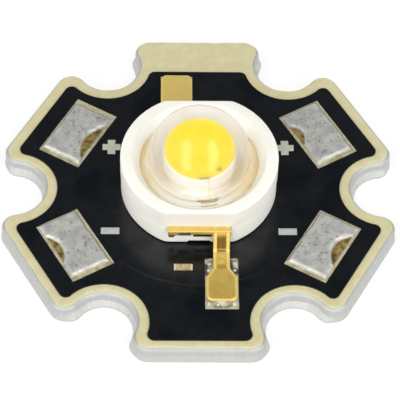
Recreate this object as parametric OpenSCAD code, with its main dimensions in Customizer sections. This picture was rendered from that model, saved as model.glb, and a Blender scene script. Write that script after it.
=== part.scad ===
// Star-board power LED: a six-armed aluminium-core circuit board with one domed emitter soldered to its centre.
// Millimetres. +Z is up, the origin is the centre of the board's bare back face, and the cathode lead points to -Y.

/* [Board] */
// Distance between the ends of opposite arms
board_flats = 20.2; // [19:0.1:23]
// Radius of the screw notch between two arms
notch_r = 1.59; // [1.5:0.01:1.9]
// From the lines of two neighbouring arm ends in to the centre of the notch between them
notch_setback = 1.795; // [1.5:0.005:2]
// Corner radius of the arms
arm_corner_r = 0.85; // [0.5:0.05:0.9]
// Thickness of the aluminium plate
base_t = 1; // [0.8:0.1:2]
// Thickness of the insulation bonded to the plate
insulation_t = 0.1; // [0.06:0.01:0.2]
// Width of the rolled edge that the insulation stops short of
edge_roll = 0.22; // [0.05:0.01:0.25]

/* [Printed layers] */
// Thickness of the copper foil
copper_t = 0.05; // [0.035:0.005:0.1]
// Thickness of the solder mask over the copper
mask_t = 0.03; // [0.02:0.005:0.06]
// Thickness of the printed marks
ink_t = 0.02; // [0.01:0.005:0.04]
// Bare border from the board's edge to the solder mask
mask_border = 0.71; // [0.45:0.01:0.8]
// Corner radius of the solder mask
mask_corner_r = 0.36; // [0.2:0.02:0.6]
// Solder mask left past the anode's pad on the +Y arm, whose end stays bare
strip_border = 0.35; // [0.2:0.01:0.6]
// How far the printed layers lie off the board's centre, along Y
print_shift = -0.15; // [-0.2:0.01:0.2]

/* [Pads and marks] */
// Length of a wire pad, along its arm
pad_l = 2.37; // [1.6:0.01:2.6]
// From the side of a wire pad to the solder mask's edge at the notch beside it
pad_side = 0.545; // [0.3:0.005:1]
// From the outer end of a wire pad to the solder mask's edge at the end of its arm
pad_setback = 0.935; // [0.6:0.005:1.2]
// Room round the slug in the opening of the solder mask
slug_clear = 0.25; // [0.1:0.05:0.4]
// Border of copper that the solder mask covers round each opening
mask_lap = 0.1; // [0.05:0.01:0.2]
// Width of the copper tracks that join the pads
track_w = 0.8; // [0.4:0.05:1.2]
// Crown of the solder on a wire pad above the solder mask
pad_crown = 0.2; // [0.1:0.01:0.3]
// How much lower that solder is at the sides of its pad
pad_fall = 0.12; // [0.05:0.01:0.15]
// Length of a plus or minus mark
mark_l = 0.94; // [0.6:0.02:1.2]
// Width of the strokes of a mark
mark_w = 0.41; // [0.2:0.01:0.5]
// From the inner end of a wire pad back to the middle of its mark
mark_gap = 0.8; // [0.7:0.01:0.9]
// How far a mark lies off the middle of its arm, towards the Y axis
mark_side = 0.09; // [0:0.01:0.3]
// From the board's centre to the bare polarity window in the mask, along X
window_x = 0.81; // [0.7:0.01:1]
// From the board's centre to the bare polarity window in the mask, along Y
window_y = 4.96; // [4.7:0.01:5.3]

/* [Emitter body] */
// Diameter of the white body
body_d = 8.08; // [7.8:0.02:8.4]
// How far each of the two flats cuts into the round body
flat_depth = 0.4; // [0.3:0.01:0.5]
// Height of the body
body_h = 2.55; // [2.4:0.05:2.8]
// How far the wall above the lens's seat leans out up to the level rim
wall_lean = 0.48; // [0.3:0.01:0.52]
// From the rim down to the seat of the lens
seat_depth = 0.66; // [0.6:0.01:0.75]
// From the rim down to the floor round the cup
floor_depth = 0.85; // [0.8:0.01:0.95]
// Diameter of the well under the seat
well_d = 5.1; // [4.9:0.05:5.4]
// Height of the shallow relief under each flat
relief_h = 0.16; // [0.08:0.01:0.3]
// Width of that relief
relief_w = 1.15; // [0.6:0.05:1.6]
// Depth of that relief into the body
relief_depth = 0.3; // [0.15:0.05:0.5]

/* [Heat slug and chip] */
// Diameter of the slug's base
slug_d = 5.5; // [5:0.1:5.8]
// Height of the slug's base
slug_base_h = 0.75; // [0.5:0.05:0.9]
// Diameter of the slug's stem, inside the body
slug_stem_d = 2.8; // [2.7:0.05:3]
// How far the slug stands out below the body
slug_proud = 0.05; // [0.05:0.01:0.2]
// Thickness of the solder under the slug
slug_joint_t = 0.04; // [0.04:0.01:0.12]
// Diameter of the cup at its foot
cup_foot_d = 2.26; // [2.1:0.02:2.4]
// Diameter of the cup at its brim
cup_brim_d = 2.64; // [2.5:0.02:2.7]
// Height of the cup above the floor of the body
cup_h = 0.86; // [0.75:0.01:0.9]
// Depth of the hollow in the cup
cup_depth = 0.55; // [0.45:0.01:0.65]
// Diameter of the hollow's floor
cup_floor_d = 1.6; // [1.5:0.02:1.7]
// Wall of the cup at its brim
cup_wall = 0.08; // [0.06:0.01:0.12]
// Side of the square chip
chip_w = 1; // [0.9:0.02:1.02]
// Thickness of the chip
chip_t = 0.12; // [0.08:0.01:0.15]
// Thickness of the bond under the chip
attach_t = 0.03; // [0.02:0.01:0.05]
// Thickness of the phosphor that laps over the brim
phosphor_lap_t = 0.03; // [0.02:0.01:0.06]
// Diameter of a bond wire
wire_d = 0.06; // [0.04:0.01:0.08]
// Diameter of the flattened bond at each end of a wire
bond_d = 0.14; // [0.12:0.01:0.16]
// Height of that bond
bond_h = 0.09; // [0.08:0.01:0.11]
// From the emitter's axis to each bond wire, along X
wire_x = 0.4; // [0.36:0.01:0.42]
// From the emitter's axis to a wire's end on the chip, along Y
wire_start = 0.4; // [0.38:0.01:0.42]
// From the emitter's axis to a wire's end on its lead, along Y
wire_end = 2.05; // [2:0.01:2.08]
// Height of a wire's loop above the line between its ends
wire_loop = 0.95; // [0.93:0.01:0.97]

/* [Lens] */
// Radius of the dome
dome_r = 2.6; // [2.55:0.01:2.8]
// Wall of the dome
lens_wall = 0.25; // [0.15:0.01:0.27]
// From the seat up to the centre of the dome
dome_rise = 0.63; // [0.5:0.01:0.8]
// Diameter of the lens's flange
flange_d = 5.86; // [5.7:0.02:6]
// Thickness of the flange
flange_t = 0.3; // [0.2:0.01:0.4]
// Gap round the flange in its seat
seat_gap = 0.02; // [0.01:0.01:0.06]
// Height of the bead of sealant round the flange
sealant_h = 0.2; // [0.1:0.01:0.28]

/* [Leads] */
// Distance between the tips of the two leads
lead_span = 14.6; // [14.2:0.05:15]
// Thickness of a lead
lead_t = 0.25; // [0.15:0.01:0.3]
// From the underside of the body to the underside of a lead
lead_h = 1.12; // [1:0.01:1.2]
// Width of a lead where it leaves the body
tab_w = 3.19; // [2.6:0.01:3.3]
// How far that tab stands out of the flat
tab_out = 0.3; // [0.15:0.01:0.35]
// How far the tab reaches into the body
tab_in = 0.76; // [0.6:0.01:0.9]
// Width of the neck that bends down to the board
neck_w = 0.84; // [0.6:0.02:0.9]
// From the emitter's axis to the middle of the neck, along X
neck_x = 1.12; // [0.9:0.01:1.15]
// How far the neck moves outwards as it comes down to its heel
neck_slope = 0.42; // [0.2:0.02:0.6]
// Height of the heel that eases the neck into the foot
heel_h = 0.1; // [0.05:0.01:0.2]
// Length of that heel
heel_l = 0.5; // [0.3:0.02:0.6]
// Width of the foot
foot_w = 1.6; // [1.3:0.02:1.64]
// Length of the foot
foot_l = 1.95; // [1.5:0.05:2.2]
// Length of the slanted shoulders between neck and foot
shoulder_l = 0.58; // [0.3:0.02:0.7]
// Corner radius of the foot's tip
tip_r = 0.32; // [0.2:0.02:0.6]
// Thickness of the solder under a foot
lead_joint_t = 0.05; // [0.04:0.01:0.1]
// Width of the solder pad under a lead
lead_pad_w = 1.68; // [1.66:0.01:1.8]
// Length of that pad
lead_pad_l = 3.11; // [2.8:0.01:3.2]
// How far that pad reaches past the tip of the lead
lead_pad_out = 0.23; // [0.2:0.01:0.3]
// Height of the solder beside a foot, above the solder mask
lead_fillet = 0.1; // [0.05:0.01:0.2]
// Width of the strip of lead that a bond wire lands on
post_w = 1.1; // [1:0.02:1.2]
// From the emitter's axis to the inner end of that strip
post_reach = 1.75; // [1.7:0.01:1.78]
// Border of the strip that the body covers round the bond window
post_lap = 0.06; // [0.04:0.01:0.08]

/* [Hidden] */

$fn = 96;
arms = 6;
arm_step = 360 / arms;
corner_steps = 8;
// Overrun of every cutter past the surface that it opens
over = 0.5;
// How far the rounded corners of an arm run into the notches, so that the two surfaces cross
corner_bite = 0.01;

// Heights of the layers, from the back face up
insulation_z = base_t;
copper_z = insulation_z + insulation_t;
foil_top = copper_z + copper_t;
mask_top = foil_top + mask_t;

// Heights of the emitter
slug_z = foil_top + slug_joint_t;
body_z = slug_z + slug_proud;
rim_z = body_z + body_h;
seat_z = rim_z - seat_depth;
floor_z = rim_z - floor_depth;
brim_z = floor_z + cup_h;
hollow_z = brim_z - cup_depth;
chip_z = hollow_z + attach_t;
chip_top = chip_z + chip_t;
dome_z = seat_z + dome_rise;
lead_z = body_z + lead_h;
lead_top = lead_z + lead_t;
foot_z = foil_top + lead_joint_t;

// Plan sizes that follow from the driving ones
board_apothem = board_flats / 2;
notch_reach = (board_apothem - notch_setback) / cos(arm_step / 2);
mask_apothem = board_apothem - mask_border;
seat_r = flange_d / 2 + seat_gap;
mouth_r = seat_r + wall_lean;
body_flats = body_d - 2 * flat_depth;
bore_r = dome_r - lens_wall;
slug_pad_r = slug_d / 2 + slug_clear;
pad_w = 2 * (notch_reach * sin(arm_step / 2) - notch_r - mask_border - pad_side);
pad_reach = mask_apothem - pad_setback - pad_l / 2;
track_r = pad_reach - pad_l / 2;
mark_reach = track_r - mark_gap;
lead_tip = lead_span / 2;
foot_start = lead_tip - foot_l;
tab_tip = body_flats / 2 + tab_out;
tab_root = body_flats / 2 - tab_in;
lead_pad_tip = lead_tip + lead_pad_out;
mask_short_apothem = lead_pad_tip + strip_border;
wire_r = wire_d / 2;

// Angle of the first wire pad, on the arm to the right of +Y
first_pad = arm_step / 2;

// Outline of a star: each arm's end at the given distance, its corners rounded into the notches.
// The edges run on to the notch centres, so that true cylinders can cut the notches afterwards.
function arm_end(arm, apothem, short) = arm == 0 ? short : apothem;
function corner_points(apothem, r_notch, r_corner) =
  let (cx = notch_reach * sin(arm_step / 2))
  let (cy = notch_reach * cos(arm_step / 2))
  let (fy = apothem - r_corner)
  let (fx = cx - sqrt(pow(r_notch + r_corner - corner_bite, 2) - pow(fy - cy, 2)))
  let (last = atan2(cy - fy, cx - fx))
  [for (i = [0 : corner_steps])
    let (a = 90 + (last - 90) * i / corner_steps)
    [fx + r_corner * cos(a), fy + r_corner * sin(a)]];
function turned(p, a) = [p.x * cos(a) - p.y * sin(a), p.x * sin(a) + p.y * cos(a)];
function arm_points(apothem, r_notch, r_corner) =
  let (right = corner_points(apothem, r_notch, r_corner))
  let (n = len(right) - 1)
  concat(
    [for (i = [0 : n]) right[n - i]],
    [for (p = right) [-p.x, p.y]],
    [turned([0, notch_reach], arm_step / 2)]
  );
function star_points(apothem, short, r_notch, r_corner) =
  [for (arm = [0 : arms - 1])
    let (end = arm_end(arm, apothem, short))
    for (p = arm_points(end, r_notch, r_corner)) turned(p, arm * arm_step)];

module star_plate(apothem, short, r_notch, r_corner, t) {
  difference() {
    linear_extrude(t) polygon(star_points(apothem, short, r_notch, r_corner));
    for (arm = [0 : arms - 1])
      rotate(arm * arm_step + arm_step)
        translate([notch_reach, 0, -over])
          cylinder(r = r_notch, h = t + 2 * over);
  }
}

// The printed layers share one small shift off the board's centre
module printed() {
  translate([0, print_shift, 0]) children();
}

// Wire pads, on the arms at 30, 150, 210 and 330 degrees
module at_pad(angle) {
  printed() rotate(angle) translate([pad_reach, 0, 0]) children();
}

module block(size_x, size_y, z0, z1) {
  translate([-size_x / 2, -size_y / 2, z0]) cube([size_x, size_y, z1 - z0]);
}

module wire_pad(grow, z0, z1) {
  block(pad_l + 2 * grow, pad_w + 2 * grow, z0, z1);
}

// Pad under a lead: the cathode's, or the anode's when turned half round
module lead_pad(turn, grow, z0, z1) {
  printed()
    rotate(turn)
      translate([neck_x, lead_pad_l / 2 - lead_pad_tip, 0])
        block(lead_pad_w + 2 * grow, lead_pad_l + 2 * grow, z0, z1);
}

// Copper of one pole: its two wire pads, the track between them and the pad of its lead
module pole_copper(turn, z0, z1) {
  for (angle = [180 + first_pad, 360 - first_pad])
    at_pad(turn + angle) wire_pad(mask_lap, z0, z1);
  printed()
    rotate(turn + 180 + first_pad)
      rotate_extrude(angle = 180 - 2 * first_pad)
        translate([track_r, z0]) square([track_w, z1 - z0]);
  lead_pad(turn, mask_lap, z0, z1);
}

module thermal_copper(z0, z1) {
  printed() translate([0, 0, z0]) cylinder(r = slug_pad_r + mask_lap, h = z1 - z0);
}

module aluminium_base() {
  color("silver") star_plate(board_apothem, board_apothem, notch_r, arm_corner_r, base_t);
}

module insulation_layer() {
  apothem = board_apothem - edge_roll;
  color("palegoldenrod")
    translate([0, 0, insulation_z])
      star_plate(apothem, apothem, notch_r + edge_roll, arm_corner_r - edge_roll, insulation_t);
}

module copper_anode() {
  color("peru") pole_copper(180, copper_z, foil_top);
}

module copper_cathode() {
  color("peru") pole_copper(0, copper_z, foil_top);
}

module copper_thermal_pad() {
  color("peru") thermal_copper(copper_z, foil_top);
}

// Openings of the solder mask over the copper, from the foil up
module mask_openings() {
  for (angle = [first_pad, 180 - first_pad, 180 + first_pad, 360 - first_pad])
    at_pad(angle) wire_pad(0, foil_top, mask_top + over);
  for (turn = [0, 180])
    lead_pad(turn, 0, foil_top, mask_top + over);
  printed() translate([0, 0, foil_top]) cylinder(r = slug_pad_r, h = mask_t + over);
  printed()
    translate([-window_x, -window_y, 0])
      block(mark_l, mark_w, copper_z - over, mask_top + over);
}

module solder_mask() {
  color("#171a1f")
    difference() {
      printed()
        translate([0, 0, copper_z])
          star_plate(mask_apothem, mask_short_apothem, notch_r + mask_border, mask_corner_r, mask_top - copper_z);
      for (turn = [0, 180])
        pole_copper(turn, copper_z - over, foil_top);
      thermal_copper(copper_z - over, foil_top);
      mask_openings();
    }
}

// A low pillow of solder: a block under two crossed cylinders
function crown_r(width) = (pow(width / 2, 2) + pow(pad_fall, 2)) / (2 * pad_fall);
module solder_pillow(angle) {
  top = mask_top + pad_crown;
  color("#afafa8")
    at_pad(angle)
      intersection() {
        wire_pad(0, foil_top, top + over);
        translate([0, 0, top - crown_r(pad_l)])
          rotate([90, 0, 0]) cylinder(r = crown_r(pad_l), h = 2 * pad_w, center = true, $fn = 256);
        translate([0, 0, top - crown_r(pad_w)])
          rotate([0, 90, 0]) cylinder(r = crown_r(pad_w), h = 2 * pad_l, center = true, $fn = 256);
      }
}

module solder_positive_left() {
  solder_pillow(180 - first_pad);
}

module solder_positive_right() {
  solder_pillow(first_pad);
}

module solder_negative_left() {
  solder_pillow(180 + first_pad);
}

module solder_negative_right() {
  solder_pillow(360 - first_pad);
}

// Middle of the mark on the first pad's arm
mark_place = turned([mark_reach, mark_side], first_pad);

module minus_shape(side, half) {
  printed()
    translate([side * mark_place.x, half * mark_place.y, 0])
      block(mark_l, mark_w, mask_top, mask_top + ink_t);
}

module plus_shape(side, half) {
  minus_shape(side, half);
  printed()
    translate([side * mark_place.x, half * mark_place.y, 0])
      block(mark_w, mark_l, mask_top, mask_top + ink_t);
}

module plus_mark_left() {
  color("#bec3be") plus_shape(-1, 1);
}

module plus_mark_right() {
  color("#bec3be") plus_shape(1, 1);
}

module minus_mark_left() {
  color("#bec3be") minus_shape(-1, -1);
}

module minus_mark_right() {
  color("#bec3be") minus_shape(1, -1);
}

module slug_solder() {
  color("#afafa8") translate([0, 0, foil_top]) cylinder(d = slug_d, h = slug_joint_t);
}

// Base, stem and flared cup of the slug, without the cup's hollow
module slug_shape() {
  translate([0, 0, slug_z]) cylinder(d = slug_d, h = slug_base_h);
  translate([0, 0, slug_z]) cylinder(d = slug_stem_d, h = floor_z - slug_z);
  translate([0, 0, floor_z]) cylinder(d1 = cup_foot_d, d2 = cup_brim_d, h = cup_h);
}

module cup_hollow() {
  translate([0, 0, hollow_z]) cylinder(d1 = cup_floor_d, d2 = cup_brim_d - 2 * cup_wall, h = cup_depth);
}

module heat_slug() {
  color("gainsboro")
    difference() {
      slug_shape();
      cup_hollow();
    }
}

// Strip of constant thickness along a path of points, its corners mitred
function unit(v) = v / norm(v);
function side_normal(a, b) = let (d = unit(b - a)) [-d.y, d.x];
function mitre(path, i) =
  let (first = side_normal(path[max(i - 1, 0)], path[max(i, 1)]))
  let (second = side_normal(path[min(i, len(path) - 2)], path[min(i + 1, len(path) - 1)]))
  (first + second) / (1 + first * second);
function strip_points(path, t) =
  let (n = len(path) - 1)
  concat(
    [for (i = [0 : n]) path[i] + mitre(path, i) * t / 2],
    [for (i = [0 : n]) path[n - i] - mitre(path, n - i) * t / 2]
  );

// Round corner points of the foot's tip, from the side to the end
function tip_points(side) =
  [for (i = [0 : corner_steps])
    let (a = 90 * i / corner_steps)
    [side * (foot_w / 2 - tip_r + tip_r * cos(a)), -lead_tip + tip_r - tip_r * sin(a)]];

// Cathode lead: a tab in the flat of the body, a neck bent down to the board, a foot and an inner strip
module lead_shape() {
  mid = lead_t / 2;
  path = [
    [tab_root, lead_z + mid],
    [tab_tip - mid, lead_z + mid],
    [tab_tip - mid + neck_slope, foot_z + mid + heel_h],
    [tab_tip - mid + neck_slope + heel_l, foot_z + mid],
    [foot_start + shoulder_l, foot_z + mid]
  ];
  right = tip_points(1);
  left = tip_points(-1);
  foot = concat(
    [[neck_w / 2, -foot_start], [foot_w / 2, -foot_start - shoulder_l]],
    right,
    [for (i = [0 : corner_steps]) left[corner_steps - i]],
    [[-foot_w / 2, -foot_start - shoulder_l], [-neck_w / 2, -foot_start]]
  );
  translate([-tab_w / 2, -tab_tip, lead_z]) cube([tab_w, tab_tip - tab_root, lead_t]);
  translate([wire_x - post_w / 2, -tab_root - over, lead_z])
    cube([post_w, tab_root + over - post_reach, lead_t]);
  translate([neck_x - neck_w / 2, 0, 0])
    rotate([90, 0, -90])
      mirror([0, 0, 1])
        linear_extrude(neck_w) polygon(strip_points(path, lead_t));
  translate([neck_x, 0, foot_z]) linear_extrude(lead_t) polygon(foot);
}

// Window in the floor of the body over the inner strip of the cathode lead, centred on the wire's end
module bond_window(z0, z1) {
  translate([wire_x, -wire_end, 0])
    block(post_w - 2 * post_lap, 2 * (wire_end - post_reach - post_lap), z0, z1);
}

module flat_cut() {
  translate([-body_d, body_flats / 2, body_z - over]) cube([2 * body_d, body_d, body_h + 2 * over]);
}

module relief_cut() {
  translate([-relief_w / 2, -body_flats / 2 - over, body_z - over])
    cube([relief_w, relief_depth + over, relief_h + over]);
}

// Radius of the slanted wall above the seat, at a height over the seat
function wall_r(h) = seat_r + (mouth_r - seat_r) * h / seat_depth;

module emitter_body() {
  color("#fdfaf1")
    difference() {
      translate([0, 0, body_z]) cylinder(d = body_d, h = body_h);
      translate([0, 0, seat_z]) cylinder(r1 = seat_r, r2 = wall_r(seat_depth + over), h = seat_depth + over);
      translate([0, 0, floor_z]) cylinder(d = well_d, h = floor_depth);
      slug_shape();
      for (turn = [0, 180])
        rotate(turn) {
          flat_cut();
          relief_cut();
          lead_shape();
          bond_window(lead_top, floor_z + over);
        }
    }
}

module cathode_lead() {
  color("#d8b45c") lead_shape();
}

module anode_lead() {
  color("#d8b45c") rotate(180) lead_shape();
}

module lead_solder_shape(turn) {
  difference() {
    lead_pad(turn, 0, foil_top, mask_top + lead_fillet);
    rotate(turn) lead_shape();
  }
}

module cathode_solder() {
  color("#afafa8") lead_solder_shape(0);
}

module anode_solder() {
  color("#afafa8") lead_solder_shape(180);
}

module die_attach() {
  color("silver") block(chip_w, chip_w, hollow_z, chip_z);
}

module led_chip() {
  color("#8fa3c4") block(chip_w, chip_w, chip_z, chip_top);
}

// Cathode bond wire: an arc from the chip over the cup's brim to the lead, with a flat bond at each end.
// The arc lies in an upright plane, where p is the distance from the axis and q the height.
module wire_shape() {
  a = [wire_start, chip_top + bond_h / 2];
  b = [wire_end, lead_top + bond_h / 2];
  half = norm(b - a) / 2;
  arc_r = (pow(half, 2) + pow(wire_loop, 2)) / (2 * wire_loop);
  centre = (a + b) / 2 + side_normal(a, b) * (wire_loop - arc_r);
  from_b = atan2(b.y - centre.y, b.x - centre.x);
  to_a = atan2(a.y - centre.y, a.x - centre.x);
  translate([wire_x, -centre.x, centre.y])
    rotate([90, 0, -90])
      rotate(from_b)
        rotate_extrude(angle = to_a - from_b)
          translate([arc_r, 0]) circle(r = wire_r);
  translate([wire_x, -a.x, chip_top]) cylinder(d = bond_d, h = bond_h);
  translate([wire_x, -b.x, lead_top]) cylinder(d = bond_d, h = bond_h);
}

module bond_wire_cathode() {
  color("gold") wire_shape();
}

module bond_wire_anode() {
  color("gold") rotate(180) wire_shape();
}

module both_wires() {
  wire_shape();
  rotate(180) wire_shape();
}

module phosphor_lap() {
  translate([0, 0, brim_z]) cylinder(d = cup_brim_d, h = phosphor_lap_t);
}

module phosphor() {
  color("#fce746")
    difference() {
      union() {
        cup_hollow();
        phosphor_lap();
      }
      block(chip_w, chip_w, hollow_z - over, chip_top);
      both_wires();
    }
}

// Space inside the lens and the well of the body
module gel_space() {
  translate([0, 0, floor_z]) cylinder(d = well_d, h = seat_z - floor_z);
  translate([0, 0, seat_z]) cylinder(r = bore_r, h = dome_rise);
  translate([0, 0, dome_z]) half_ball(bore_r);
}

module half_ball(r) {
  intersection() {
    sphere(r = r);
    translate([-2 * r, -2 * r, 0]) cube([4 * r, 4 * r, 2 * r]);
  }
}

module silicone_gel() {
  color([0.95, 0.93, 0.85, 0.4])
    difference() {
      union() {
        gel_space();
        for (turn = [0, 180])
          rotate(turn) bond_window(lead_top, floor_z);
      }
      slug_shape();
      phosphor_lap();
      both_wires();
    }
}

module lens() {
  color([0.9, 0.93, 0.96, 0.35])
    difference() {
      union() {
        translate([0, 0, seat_z]) cylinder(d = flange_d, h = flange_t);
        translate([0, 0, seat_z]) cylinder(r = dome_r, h = dome_rise);
        translate([0, 0, dome_z]) half_ball(dome_r);
      }
      translate([0, 0, seat_z - over]) cylinder(r = bore_r, h = dome_rise + over);
      translate([0, 0, dome_z]) sphere(r = bore_r);
    }
}

// Bead of sealant between the flange and the slanted wall of the body
module lens_sealant() {
  color("#cfa24a")
    rotate_extrude()
      polygon([
        [flange_d / 2, seat_z],
        [seat_r, seat_z],
        [wall_r(sealant_h), seat_z + sealant_h],
        [flange_d / 2, seat_z + sealant_h]
      ]);
}

aluminium_base();
insulation_layer();
copper_anode();
copper_cathode();
copper_thermal_pad();
solder_mask();
solder_positive_left();
solder_positive_right();
solder_negative_left();
solder_negative_right();
plus_mark_left();
plus_mark_right();
minus_mark_left();
minus_mark_right();
slug_solder();
heat_slug();
emitter_body();
anode_lead();
cathode_lead();
anode_solder();
cathode_solder();
die_attach();
led_chip();
bond_wire_anode();
bond_wire_cathode();
phosphor();
silicone_gel();
lens();
lens_sealant();
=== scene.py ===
"""Dresses the star-board power LED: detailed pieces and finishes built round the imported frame.

Everything is in metres, in the frame's own coordinates: +Z up, the origin in the middle of the board's back face,
the cathode lead towards -Y. Sizes that the frame gives are read from it, and the rest are named here in millimetres.
"""

from __future__ import annotations

import logging
import math
from dataclasses import dataclass, field
from enum import Enum

import bpy
import numpy as np
from mathutils import Matrix, Vector

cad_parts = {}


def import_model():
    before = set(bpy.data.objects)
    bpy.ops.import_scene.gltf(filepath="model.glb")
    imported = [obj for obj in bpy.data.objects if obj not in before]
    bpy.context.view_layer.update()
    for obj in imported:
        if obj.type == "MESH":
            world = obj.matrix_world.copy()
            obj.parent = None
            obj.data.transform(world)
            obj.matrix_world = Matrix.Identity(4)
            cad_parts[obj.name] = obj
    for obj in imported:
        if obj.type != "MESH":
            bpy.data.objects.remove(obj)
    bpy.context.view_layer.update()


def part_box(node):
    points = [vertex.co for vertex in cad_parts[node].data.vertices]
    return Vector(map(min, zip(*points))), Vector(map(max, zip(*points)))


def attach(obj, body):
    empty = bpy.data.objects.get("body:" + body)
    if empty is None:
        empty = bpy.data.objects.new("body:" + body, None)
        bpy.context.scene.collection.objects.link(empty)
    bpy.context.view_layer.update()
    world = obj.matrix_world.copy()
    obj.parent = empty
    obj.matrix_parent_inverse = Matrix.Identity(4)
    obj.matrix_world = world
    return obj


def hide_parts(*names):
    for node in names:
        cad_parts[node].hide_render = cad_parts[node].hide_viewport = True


log = logging.getLogger("star_led")

MM = 0.001
Array = np.ndarray
Colour = tuple[float, float, float]
BODY = "root"


class Slot(Enum):
    """Material slots of the part's record."""

    ALUMINIUM = "aluminium"
    INSULATION = "insulation"
    COPPER = "copper"
    MASK = "mask"
    SOLDER = "solder"
    INK = "ink"
    SLUG = "slug"
    BODY = "body"
    GOLD = "gold"
    CHIP = "chip"
    PHOSPHOR = "phosphor"
    LENS = "lens"
    SEALANT = "sealant"


def srgb(red: int, green: int, blue: int) -> Colour:
    """Turns a screen colour into linear light.

    Args:
        red, green, blue: The colour as it looks on a screen, from 0 to 255.

    Returns:
        The same colour in linear light, from 0 to 1.
    """
    parts = np.array([red, green, blue]) / 255
    linear = np.where(parts <= 0.04045, parts / 12.92, ((parts + 0.055) / 1.055) ** 2.4)
    return tuple(float(x) for x in linear)


def ease(value: Array, low: float, high: float) -> Array:
    """Rises from 0 at low to 1 at high along 3 t squared minus 2 t cubed."""
    t = np.clip((value - low) / (high - low), 0, 1)
    return t * t * (3 - 2 * t)


def plateau(value: Array, low: float, high: float, soft: float) -> Array:
    """Is 1 between low and high and 0 outside, with soft shoulders as wide as soft."""
    return ease(value, low - soft / 2, low + soft / 2) * (1 - ease(value, high - soft / 2, high + soft / 2))


def waves(along: Array, period: float, cycles: tuple[int, ...], seed: int) -> Array:
    """Draws a closed wandering line: equal sines of whole cycles per period, each with its own phase.

    Args:
        along: Where the line is read.
        period: Length after which the line repeats.
        cycles: How many waves each sine has in that length.
        seed: Number that fixes the phases.

    Returns:
        Heights between about -1 and 1.
    """
    phases = np.random.default_rng(seed).uniform(0, 2 * np.pi, len(cycles))
    turns = 2 * np.pi * np.multiply.outer(along / period, np.array(cycles)) + phases
    return np.sin(turns).sum(-1) / math.sqrt(len(cycles))


def grain(u: Array, v: Array, cell: float, seed: int) -> Array:
    """Makes value noise: random heights on a square lattice, joined by smooth steps.

    Args:
        u, v: Where the noise is read, in one unit.
        cell: Side of a lattice square in that unit.
        seed: Number that fixes the heights.

    Returns:
        Heights between -1 and 1.
    """
    side = 64
    lattice = np.random.default_rng(seed).uniform(-1, 1, (side, side))
    i = np.floor(u / cell).astype(int)
    j = np.floor(v / cell).astype(int)
    s = ease(u / cell - i, 0, 1)
    t = ease(v / cell - j, 0, 1)
    low = lattice[i % side, j % side] * (1 - s) + lattice[(i + 1) % side, j % side] * s
    high = lattice[i % side, (j + 1) % side] * (1 - s) + lattice[(i + 1) % side, (j + 1) % side] * s
    return low * (1 - t) + high * t


def rounded(corners: list[tuple[float, float, float]], step: float, arc_points: int = 7) -> Array:
    """Walks an open line of corners, each rounded by its own radius, with points along the straights too.

    Args:
        corners: Two coordinates and the radius of each corner; the ends have radius 0.
        step: Longest distance between two points on a straight.
        arc_points: Points on each round corner.

    Returns:
        The points in order, one row each.
    """
    spots = np.array([c[:2] for c in corners], float)
    trail = [spots[:1]]
    for k in range(1, len(corners)):
        here = spots[k]
        radius = corners[k][2]
        back = (spots[k - 1] - here) / np.linalg.norm(spots[k - 1] - here)
        arc = here[None]
        if radius > 0:
            ahead = (spots[k + 1] - here) / np.linalg.norm(spots[k + 1] - here)
            half = 0.5 * math.acos(float(np.clip(back @ ahead, -1, 1)))
            middle = here + (back + ahead) / np.linalg.norm(back + ahead) * radius / math.sin(half)
            first = here + back * radius / math.tan(half) - middle
            last = here + ahead * radius / math.tan(half) - middle
            share = np.linspace(0, 1, arc_points)[:, None]
            chord = first * (1 - share) + last * share
            arc = middle + chord / np.linalg.norm(chord, axis=1, keepdims=True) * radius
        run = np.linalg.norm(arc[0] - trail[-1][-1])
        count = max(1, math.ceil(run / step))
        share = np.linspace(0, 1, count + 1)[1:-1, None]
        trail += [trail[-1][-1] * (1 - share) + arc[0] * share, arc]
    return np.concatenate(trail)


def lathe(profile: Array, columns: int) -> Array:
    """Turns a profile round the Z axis: each point goes round a circle of its radius at its height.

    Args:
        profile: Radius and height of each point, one row each.
        columns: Points on each circle.

    Returns:
        Points as rows by columns by three.
    """
    angle = np.linspace(0, 2 * np.pi, columns, endpoint=False)
    ring = np.stack([np.cos(angle), np.sin(angle), np.zeros(columns)], -1)
    lift = np.array([0.0, 0.0, 1.0])
    return profile[:, :1, None] * ring + profile[:, 1:, None] * lift


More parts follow.
